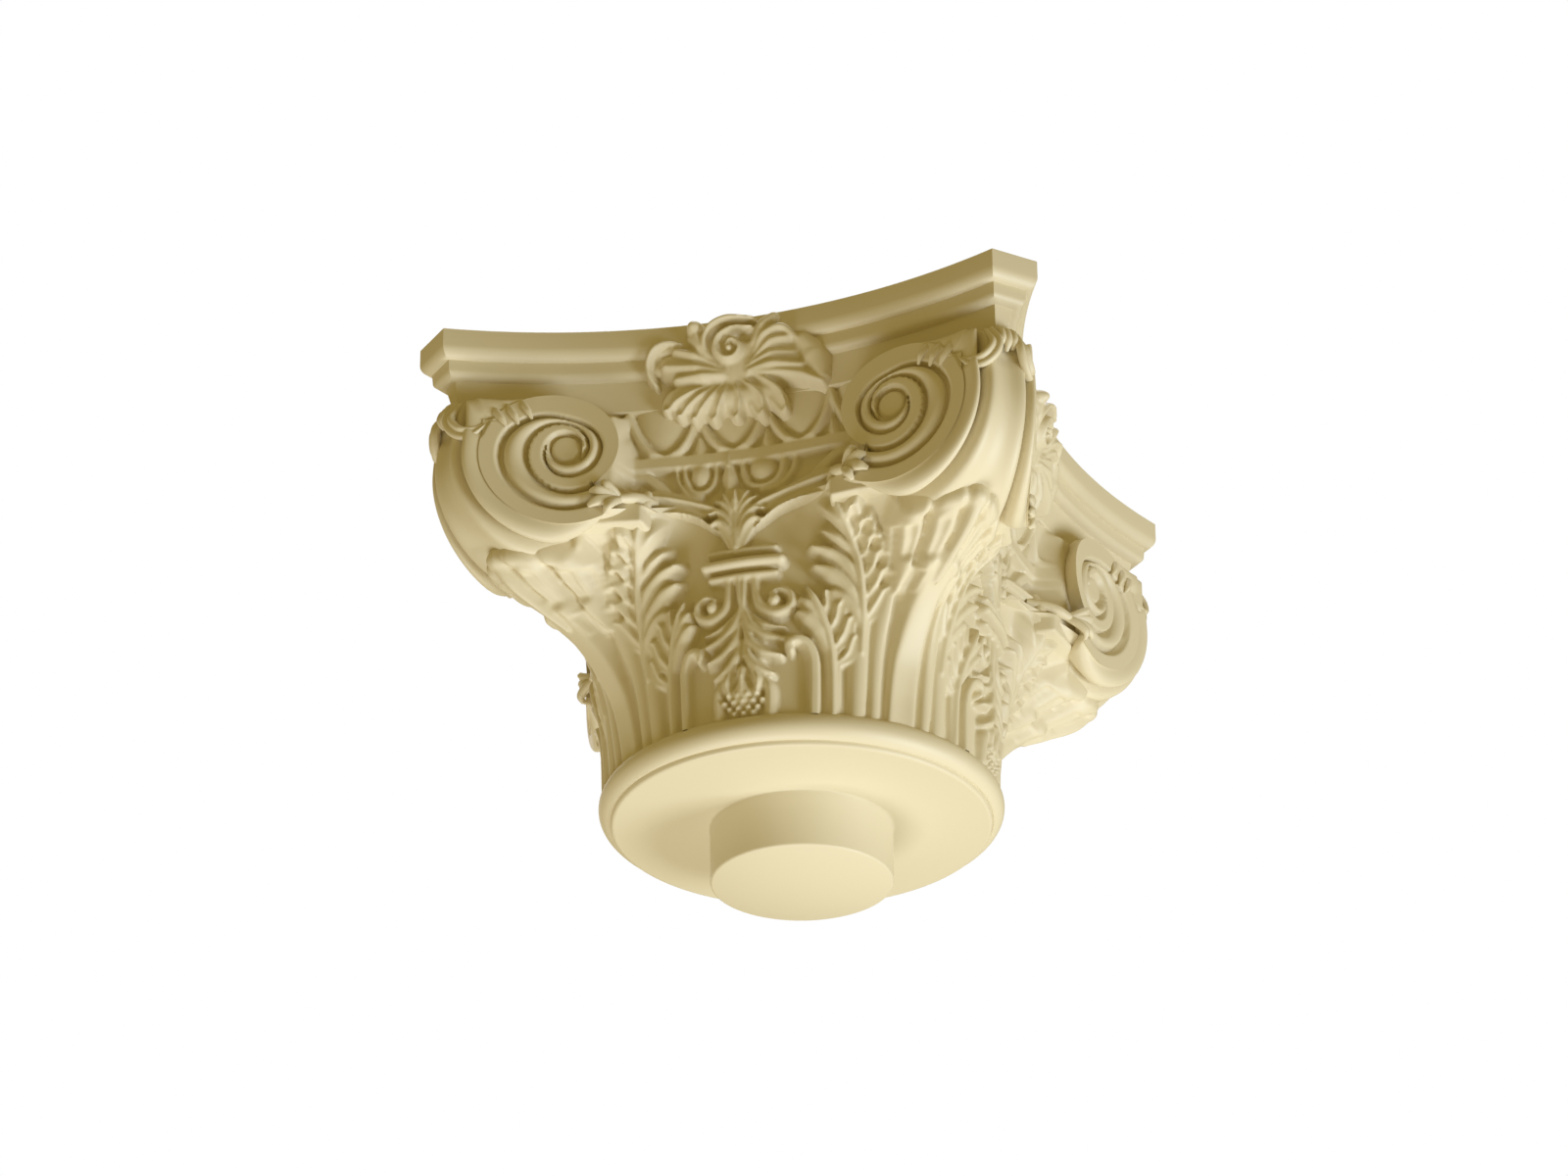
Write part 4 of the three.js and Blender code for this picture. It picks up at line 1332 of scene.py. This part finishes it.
@dataclass
class Fleuron:
    """Spray of scrolled leaves on the middle of each abacus side, with tongues that hang over the eggs.

    Attributes:
        half_length: Half the length of its field.
        foot: Height of the lowest row.
        top: Height of the highest row.
        columns: Points along it.
        rows: Points up it.
    """

    half_length: float = 68.0
    foot: float = 250.0
    top: float = 317.5
    columns: int = 180
    rows: int = 86

    def carve(self, carving: Relief) -> None:
        """Mound, skirt of scooped tongues, fans of lobes at both sides, knob and scroll on top.

        Args:
            carving: Relief that is carved.
        """
        carving.stroke([(-26, 290), (0, 291), (28, 288)], (16, 22, 15), (13, 16, 12), mirror=False)
        carving.stroke([(-6, 285), (-24, 289), (-41, 292)], (9, 12, 10), (14, 13.5, 11), mirror=False)
        carving.stroke([(8, 285), (25, 289), (41, 290)], (9, 11, 9), (14, 13.5, 11), mirror=False)
        carving.stroke([(-32, 269), (-6, 269), (22, 269)], (8, 9.5, 8), (11.5, 13, 11.5), mirror=False)
        tongues = [
            ((-14, 279), (-29, 276), (-40, 271.5), (-45, 267)),
            ((-12, 278), (-24, 273), (-33, 267.5), (-37, 263)),
            ((-9, 278), (-18, 271), (-25, 265), (-28, 260.5)),
            ((-6, 277), (-11, 270), (-15, 264), (-16, 259)),
            ((-2, 277), (-2, 270), (-2, 264), (-2, 258.5)),
            ((3, 277), (8, 270), (12, 264), (14, 258.5)),
            ((8, 278), (18, 272), (25, 265), (29, 258)),
        ]
        for path in tongues:
            carving.stroke(
                list(path), (2.0, 5.4, 6.4, 4.6), (14, 17, 16, 12.5), Crown.HOLLOW, 0.25, mirror=False
            )
        lobes = [
            ([(-6, 281), (-20, 282), (-37, 282.5)], (3.8, 6.0, 4.2)),
            ([(-6, 283), (-24, 288), (-44, 291.5)], (3.4, 6.0, 4.2)),
            ([(-8, 286), (-24, 295), (-36, 300)], (3.4, 5.8, 4.0)),
            ([(-10, 288), (-19, 299), (-26, 306)], (3.0, 5.4, 4.0)),
            ([(10, 281), (26, 282.5), (44, 280)], (3.4, 5.8, 4.0)),
            ([(10, 284), (25, 289), (39, 289.0)], (3.2, 5.4, 3.8)),
            ([(12, 287), (26, 296), (38, 298)], (3.2, 5.4, 3.8)),
        ]
        for path, half in lobes:
            carving.stroke(path, half, (17, 18.5, 14.5), Crown.RIDGE, 0.2, mirror=False)
        curl = [(-51, 281), (-54.5, 287), (-54, 295), (-49, 302), (-41, 305), (-32, 304)]
        carving.stroke(curl, (2.0, 3.4, 3.6, 3.6, 3.2, 2.4), (11, 14, 15, 15, 14, 12), mirror=False)
        carving.stroke(
            [(9, 280), (28, 278.5), (44, 275), (56, 270)], (3, 4.6, 5.0, 2.4), (16, 16, 14, 9), Crown.RIDGE,
            mirror=False
        )
        carving.stroke([(45, 296), (51, 287), (55, 275)], (8, 11.5, 6), (13, 13.5, 9), mirror=False)
        carving.stroke(
            [(15, 293), (22, 301.5), (34, 304.5), (43, 296)], (3.4, 4.0, 4.2, 3.0), (16, 18, 17, 13),
            mirror=False
        )
        carving.stroke([(15, 298), (21, 308), (28, 313.5)], (5.0, 6.4, 4.6), (16, 16, 13), mirror=False)
        carving.stroke([(-14, 288), (-20, 299), (-22, 309)], (4.0, 5.4, 5.4), (16, 18, 17), mirror=False)
        carving.boss((-22.5, 311), (7.2, 6.8), 19.5, mirror=False)
        arch = [(-16.5, 291), (-16.5, 303), (-11, 311), (0, 314.5), (15, 313.5)]
        carving.stroke(arch, (3.4, 3.8, 3.8, 3.6, 2.4), (17, 19, 19.5, 19, 16), mirror=False)
        scroll = [
            (14, 308), (2, 308), (-7, 303.5), (-9.5, 296.5), (-5, 290), (2.5, 290), (6, 296), (1.5, 300.5),
            (-2.5, 298.5)
        ]
        carving.stroke(
            scroll, (2.4, 3.2, 3.6, 3.6, 3.6, 3.2, 2.8, 2.4, 1.8),
            (16, 18.5, 20, 21, 21.5, 21.5, 21, 20.5, 20), mirror=False
        )
        carving.boss((-0.8, 295.2), (3.9, 3.7), 22, mirror=False)
        carving.groove([(5.5, 303.5), (9.5, 302)], 2.0, 5.0, mirror=False)

    def build(self, finish: "PlasterFinish") -> None:
        """Stands the carving over a surface just inside the slab and sets it on all four sides.

        Args:
            finish: Material of the pieces.
        """
        places = np.linspace(-self.half_length, self.half_length, self.columns)
        carving = Relief(places, np.linspace(self.foot, self.top, self.rows))
        self.carve(carving)
        height = soften(carving.height, 1)
        across, level = np.meshgrid(carving.across, carving.up)
        ground = np.interp(level, (250, 260, 270, 290, 300, 312, 318), (23, 22, 19, 16, 11.5, 7.5, 5.5))
        inset = np.where(height > 0.5, ground - height, ground + 12)
        grid = PLAN.on_front(across, soften(inset, 1), level)
        shell = Shell("fleuron")
        # Painted shade in the hollows between the carved lobes and tongues.
        shell.add_sheet(grid, hollowness(height, 8, 3.0) * 0.85, (0, -90, 284))
        shell.build_round(finish)


@dataclass
class Rosettes:
    """Small leafy tips where the stalks meet the scrolls, and the curled post beside each.

    Attributes:
        place: Where the tips leave the stalk, along the side and up.
        tips: Angle from straight down, length and half width of each tip.
        stem: Stalk's end, by place along the side, inset and height.
        post: Curled post, in the same way.
    """

    place: tuple[float, float] = (71.5, 201.0)
    tips: Pairs = field(
        default_factory=lambda: [(28, 16.0, 3.2), (64, 20.0, 3.6), (96, 17.0, 3.6), (130, 12.5, 3.0)]
    )
    stem: Pairs = field(
        default_factory=lambda: [(58, 29, 208), (63, 20, 206.5), (67.5, 12, 203.5), (73, 5, 200.0)]
    )
    post: Pairs = field(
        default_factory=lambda: [(62.2, 30, 190), (61.8, 24, 195), (60.6, 21.5, 203), (59.6, 25, 212)]
    )

    @staticmethod
    def on_side(path: Pairs) -> Array:
        """Points of a path given by place along the side, inset and height."""
        return np.array([PLAN.on_front(*point) for point in path])

    def tip(self, turn: float, length: float, half: float) -> Array:
        """Leaflet that leaves the stalk's end at an angle from straight down and bends outwards.

        Args:
            turn: Degrees from straight down.
            length: Length of the leaflet.
            half: Half width of its middle.

        Returns:
            Rings of the blade.
        """
        across, down = math.sin(math.radians(turn)), math.cos(math.radians(turn))
        path = [
            (self.place[0] + length * share * across, inset, self.place[1] - length * share * down)
            for share, inset in ((0.0, 9.0), (0.35, 1.5), (0.7, -2.6), (1.0, -1.2))
        ]
        width, thick = (1.6, half, half, 1.3), (2.8, 3.6, 3.2, 1.3)
        return leaf_blade(self.on_side(path), (0.2, -1, -0.3), width, thick, dip=0.2, steps=14, sides=12)

    def build(self, finish: "PlasterFinish") -> None:
        """Leaflets fan out from the stalk's end, mirrored to the other end of the side.

        Args:
            finish: Material of the pieces.
        """
        stem, post = self.on_side(self.stem), self.on_side(self.post)
        blades = [self.tip(*tip) for tip in self.tips]
        blades += [
            leaf_blade(stem, (0, -1, -0.4), (3.4, 4.0, 4.0, 2.4), (5, 6, 5.5, 3), steps=14, sides=12),
            leaf_blade(
                post, (0, -1, -0.1), (2.0, 3.8, 3.9, 2.4), (3.5, 5, 5, 3.4), dip=-0.1, steps=16, sides=14
            ),
        ]
        shell = Shell("rosettes")
        for blade in blades:
            shell.add_tube(blade)
            shell.add_tube((blade * (-1, 1, 1))[:, ::-1])
        shell.build_round(finish)


# ---- Finish --------------------------------------------------------------------------------


@dataclass(frozen=True)
class PlasterFinish:
    """Cream cast plaster with fine pits and a slow mottle, and painted shade: a darker, browner colour in its
    grooves and recesses, set by the hollow attribute.

    Attributes:
        light: Colour of open faces.
        deep: Colour of the painted shade in grooves and recesses.
        roughness: Roughness of open faces.
        pit_scale: Pits to a metre.
        pit_depth: Height of the bump in metres.
    """

    light: tuple[float, float, float, float] = (0.79, 0.76, 0.54, 1)
    # deep is the colour of the painted shade in grooves and recesses.
    deep: tuple[float, float, float, float] = (0.42, 0.33, 0.12, 1)
    roughness: float = 0.62
    pit_scale: float = 420.0
    pit_depth: float = 0.0006

    def group(self) -> bpy.types.NodeTree:
        """Node group that mixes the plaster colour and the painted shade colour by hollowness and mottle, and
        gives pits as a height.

        Returns:
            The group, made once.
        """
        found = bpy.data.node_groups.get("cast_surface")
        if found:
            return found
        tree = bpy.data.node_groups.new("cast_surface", "ShaderNodeTree")
        for name, kind in (
            ("Light", "NodeSocketColor"), ("Painted Shade", "NodeSocketColor"), ("Hollow", "NodeSocketFloat"),
            ("Pit Scale", "NodeSocketFloat"), ("Roughness", "NodeSocketFloat")
        ):
            tree.interface.new_socket(name, in_out="INPUT", socket_type=kind)
        for name, kind in (
            ("Color", "NodeSocketColor"), ("Roughness", "NodeSocketFloat"), ("Height", "NodeSocketFloat")
        ):
            tree.interface.new_socket(name, in_out="OUTPUT", socket_type=kind)
        nodes, links = tree.nodes, tree.links
        given, result = nodes.new("NodeGroupInput"), nodes.new("NodeGroupOutput")
        place = nodes.new("ShaderNodeTexCoord")

        def noise(scale: float, detail: float) -> bpy.types.Node:
            """Noise texture on the object's own coordinates.

            Args:
                scale: Waves to a metre.
                detail: Number of finer layers.

            Returns:
                The noise node.
            """
            node = nodes.new("ShaderNodeTexNoise")
            node.inputs["Scale"].default_value = scale
            node.inputs["Detail"].default_value = detail
            links.new(place.outputs["Object"], node.inputs["Vector"])
            return node

        def ramp(
            source: bpy.types.NodeSocket, low: float, high: float, to_low: float, to_high: float
        ) -> bpy.types.NodeSocket:
            """Value carried from one range to another, held at both ends.

            Args:
                source: Socket that gives the value.
                low: Value carried to to_low.
                high: Value carried to to_high.
                to_low: Result at and below low.
                to_high: Result at and above high.

            Returns:
                Socket of the result.
            """
            node = nodes.new("ShaderNodeMapRange")
            for name, value in (
                ("From Min", low), ("From Max", high), ("To Min", to_low), ("To Max", to_high)
            ):
                node.inputs[name].default_value = value
            links.new(source, node.inputs["Value"])
            return node.outputs["Result"]

        def math_node(
            kind: str, first: bpy.types.NodeSocket, second: bpy.types.NodeSocket | float
        ) -> bpy.types.NodeSocket:
            """Sum, product or such of two values.

            Args:
                kind: Operation of the Math node.
                first: Socket of the first value.
                second: Socket of the second value, or a number.

            Returns:
                Socket of the result.
            """
            node = nodes.new("ShaderNodeMath")
            node.operation = kind
            links.new(first, node.inputs[0])
            if isinstance(second, float):
                node.inputs[1].default_value = second
            else:
                links.new(second, node.inputs[1])
            return node.outputs[0]

        mottle = noise(14.0, 5.0)
        speck = noise(900.0, 2.0)
        pits = nodes.new("ShaderNodeTexVoronoi")
        links.new(place.outputs["Object"], pits.inputs["Vector"])
        links.new(given.outputs["Pit Scale"], pits.inputs["Scale"])
        # Painted shade: hollowness from 0.3 to 0.85 darkens the colour towards the shade colour.
        painted_shade = ramp(given.outputs["Hollow"], 0.30, 0.85, 0.0, 1.0)
        drift = ramp(mottle.outputs["Fac"], 0.35, 0.70, 0.0, 0.20)
        grain = ramp(speck.outputs["Fac"], 0.40, 0.75, 0.0, 0.08)
        amount = math_node("ADD", math_node("ADD", painted_shade, drift), grain)
        mix = nodes.new("ShaderNodeMix")
        mix.data_type = "RGBA"
        mix.clamp_factor = True
        links.new(amount, mix.inputs["Factor"])
        links.new(given.outputs["Light"], mix.inputs["A"])
        links.new(given.outputs["Painted Shade"], mix.inputs["B"])
        links.new(mix.outputs["Result"], result.inputs["Color"])
        rough = math_node(
            "ADD", given.outputs["Roughness"], ramp(mottle.outputs["Fac"], 0.3, 0.7, -0.06, 0.10)
        )
        links.new(rough, result.inputs["Roughness"])
        rare = ramp(noise(55.0, 2.0).outputs["Fac"], 0.55, 0.68, 0.0, 1.0)
        hole = math_node("MULTIPLY", ramp(pits.outputs["Distance"], 0.0, 0.22, -1.0, 0.0), rare)
        sand = ramp(noise(1500.0, 3.0).outputs["Fac"], 0.0, 1.0, 0.0, 0.16)
        swell = ramp(noise(60.0, 3.0).outputs["Fac"], 0.0, 1.0, 0.0, 0.9)
        links.new(math_node("ADD", math_node("ADD", hole, sand), swell), result.inputs["Height"])
        return tree

    def material(self) -> bpy.types.Material:
        """The material, made once and shared by every piece.

        Returns:
            The material.
        """
        found = bpy.data.materials.get(SLOT)
        if found:
            return found
        material = bpy.data.materials.new(SLOT)
        material.use_nodes = True
        nodes, links = material.node_tree.nodes, material.node_tree.links
        shader = nodes["Principled BSDF"]
        shader.inputs["Specular IOR Level"].default_value = 0.32
        group = nodes.new("ShaderNodeGroup")
        group.node_tree = self.group()
        group.inputs["Light"].default_value = self.light
        group.inputs["Painted Shade"].default_value = self.deep
        group.inputs["Pit Scale"].default_value = self.pit_scale
        group.inputs["Roughness"].default_value = self.roughness
        # Hollow attribute of each point, which sets its painted shade.
        hollow = nodes.new("ShaderNodeAttribute")
        hollow.attribute_name = "hollow"
        bump = nodes.new("ShaderNodeBump")
        bump.inputs["Distance"].default_value = self.pit_depth
        bump.inputs["Strength"].default_value = 0.6
        links.new(hollow.outputs["Fac"], group.inputs["Hollow"])
        links.new(group.outputs["Color"], shader.inputs["Base Color"])
        links.new(group.outputs["Roughness"], shader.inputs["Roughness"])
        links.new(group.outputs["Height"], bump.inputs["Height"])
        links.new(bump.outputs["Normal"], shader.inputs["Normal"])
        return material


# ---- Studio --------------------------------------------------------------------------------


@dataclass(frozen=True)
class Lamp:
    """Square soft light: its place and size in metres, its power in watts and its colour."""

    name: str
    place: tuple[float, float, float]
    size: float
    power: float
    colour: tuple[float, float, float]


@dataclass
class Studio:
    """Pale floor that shows only from above, soft lights and the camera, looking up from below.

    Attributes:
        azimuth: Degrees from the front towards the right.
        elevation: Degrees above the horizon, negative from below.
        roll: Degrees the camera is rolled.
        distance: Camera to target in metres.
        lens: Focal length in millimetres on a 36 mm sensor.
        target: Point that the camera is placed about.
        aim: Shift of the point aimed at, to the right and up, in metres.
        floor_half: Half the floor's width in metres.
        floor_level: Height of the floor, just under the pin.
        floor_colour: Colour of the floor.
        surround: Colour of the light from all round.
        surround_strength: Its strength.
        lit: Point that the lamps are aimed at.
        lamps: The soft lights.
    """

    azimuth: float = 14.93
    elevation: float = -27.09
    roll: float = -0.441
    distance: float = 3.490
    lens: float = 125.35
    target: tuple[float, float, float] = (0.0, 0.0, 0.168)
    aim: tuple[float, float] = (-0.01037, 0.0361)
    floor_half: float = 6.0
    floor_level: float = -0.0006
    floor_colour: tuple[float, float, float, float] = (0.82, 0.84, 0.90, 1)
    surround: tuple[float, float, float, float] = (1.0, 0.78, 0.27, 1)
    surround_strength: float = 0.36
    lit: tuple[float, float, float] = (0.0, 0.0, 0.17)
    lamps: tuple[Lamp, ...] = (
        Lamp("key", (2.75, -0.40, -1.75), 1.5, 96.0, (0.78, 0.87, 1.0)),
        Lamp("under", (-0.7, -0.35, -3.0), 1.8, 58.0, (0.90, 0.94, 1.0)),
        Lamp("back", (-1.6, 2.4, 1.8), 2.2, 26.0, (0.95, 0.95, 1.0)),
        Lamp("top", (0.0, 0.4, 3.6), 1.2, 76.0, (0.76, 0.85, 1.0)),
    )

    def backwards(self) -> Vector:
        """Direction from the target to the camera."""
        turn, tilt = math.radians(self.azimuth), math.radians(self.elevation)
        return Vector((math.sin(turn) * math.cos(tilt), -math.cos(turn) * math.cos(tilt), math.sin(tilt)))

    def camera(self) -> None:
        """Places the camera and rolls it about its own axis."""
        target = Vector(self.target)
        back = self.backwards()
        place = target + back * self.distance
        right = (-back).cross(Vector((0, 0, 1))).normalized()
        up = right.cross(-back)
        roll = math.radians(self.roll)
        right, up = right * math.cos(roll) + up * math.sin(roll), up * math.cos(roll) - right * math.sin(roll)
        forward = (target + right * self.aim[0] + up * self.aim[1] - place).normalized()
        right = forward.cross(up).normalized()
        up = right.cross(forward)
        lens = bpy.data.cameras.new("camera")
        lens.lens, lens.sensor_width = self.lens, 36.0
        lens.clip_start, lens.clip_end = 0.05, 60.0
        eye = bpy.data.objects.new("camera", lens)
        bpy.context.scene.collection.objects.link(eye)
        axes = Matrix((right, up, -forward)).transposed().to_4x4()
        eye.matrix_world = Matrix.Translation(place) @ axes
        bpy.context.scene.camera = eye

    def light(self, lamp: Lamp) -> None:
        """Square soft light aimed at the capital.

        Args:
            lamp: The lamp to place.
        """
        data = bpy.data.lights.new(lamp.name, "AREA")
        data.size, data.energy, data.color = lamp.size, lamp.power, lamp.colour
        light = bpy.data.objects.new(lamp.name, data)
        light.location = lamp.place
        away = Vector(self.lit) - Vector(lamp.place)
        light.rotation_euler = away.to_track_quat("-Z", "Y").to_euler()
        bpy.context.scene.collection.objects.link(light)

    def floor(self) -> None:
        """Pale floor under the pin, see-through from below and to every ray but the camera's."""
        mesh = bpy.data.meshes.new("floor")
        corners = [(-1, -1), (1, -1), (1, 1), (-1, 1)]
        points = [(x * self.floor_half, y * self.floor_half, self.floor_level) for x, y in corners]
        mesh.from_pydata(points, [], [(0, 1, 2, 3)])
        material = bpy.data.materials.new("floor")
        material.use_nodes = True
        nodes, links = material.node_tree.nodes, material.node_tree.links
        shader, output = nodes["Principled BSDF"], nodes["Material Output"]
        shader.inputs["Base Color"].default_value = self.floor_colour
        shader.inputs["Roughness"].default_value = 0.8
        clear, mix = nodes.new("ShaderNodeBsdfTransparent"), nodes.new("ShaderNodeMixShader")
        path, side = nodes.new("ShaderNodeLightPath"), nodes.new("ShaderNodeNewGeometry")
        keep = nodes.new("ShaderNodeMath")
        keep.operation = "SUBTRACT"
        keep.use_clamp = True
        links.new(path.outputs["Is Camera Ray"], keep.inputs[0])
        links.new(side.outputs["Backfacing"], keep.inputs[1])
        links.new(keep.outputs[0], mix.inputs[0])
        links.new(clear.outputs[0], mix.inputs[1])
        links.new(shader.outputs[0], mix.inputs[2])
        links.new(mix.outputs[0], output.inputs["Surface"])
        mesh.materials.append(material)
        floor = bpy.data.objects.new("floor", mesh)
        bpy.context.scene.collection.objects.link(floor)

    def world(self) -> None:
        """White surround for the eye and a dimmer, warmer one for the light it gives."""
        world = bpy.data.worlds.new("studio")
        world.use_nodes = True
        nodes, links = world.node_tree.nodes, world.node_tree.links
        output = nodes["World Output"]
        warm = nodes["Background"]
        warm.inputs["Color"].default_value = self.surround
        warm.inputs["Strength"].default_value = self.surround_strength
        white, mix = nodes.new("ShaderNodeBackground"), nodes.new("ShaderNodeMixShader")
        path = nodes.new("ShaderNodeLightPath")
        white.inputs["Color"].default_value = (1, 1, 1, 1)
        links.new(path.outputs["Is Camera Ray"], mix.inputs[0])
        links.new(warm.outputs[0], mix.inputs[1])
        links.new(white.outputs[0], mix.inputs[2])
        links.new(mix.outputs[0], output.inputs["Surface"])
        bpy.context.scene.world = world
        bpy.context.scene.view_settings.view_transform = "Standard"

    def build(self) -> None:
        """Sets up the whole studio."""
        self.world()
        self.floor()
        for lamp in self.lamps:
            self.light(lamp)
        self.camera()


def main() -> None:
    """Builds the studio and every piece in order."""
    logging.basicConfig(level=logging.INFO, format="%(message)s")
    Studio().build()
    finish = PlasterFinish()
    for assembly in (Neck(), Abacus(), Bell(), EggBand(), Scroll(), Drape(), Fleuron(), Rosettes()):
        LOG.info("building %s", type(assembly).__name__)
        assembly.build(finish)


if __name__ == "__main__":
    main()
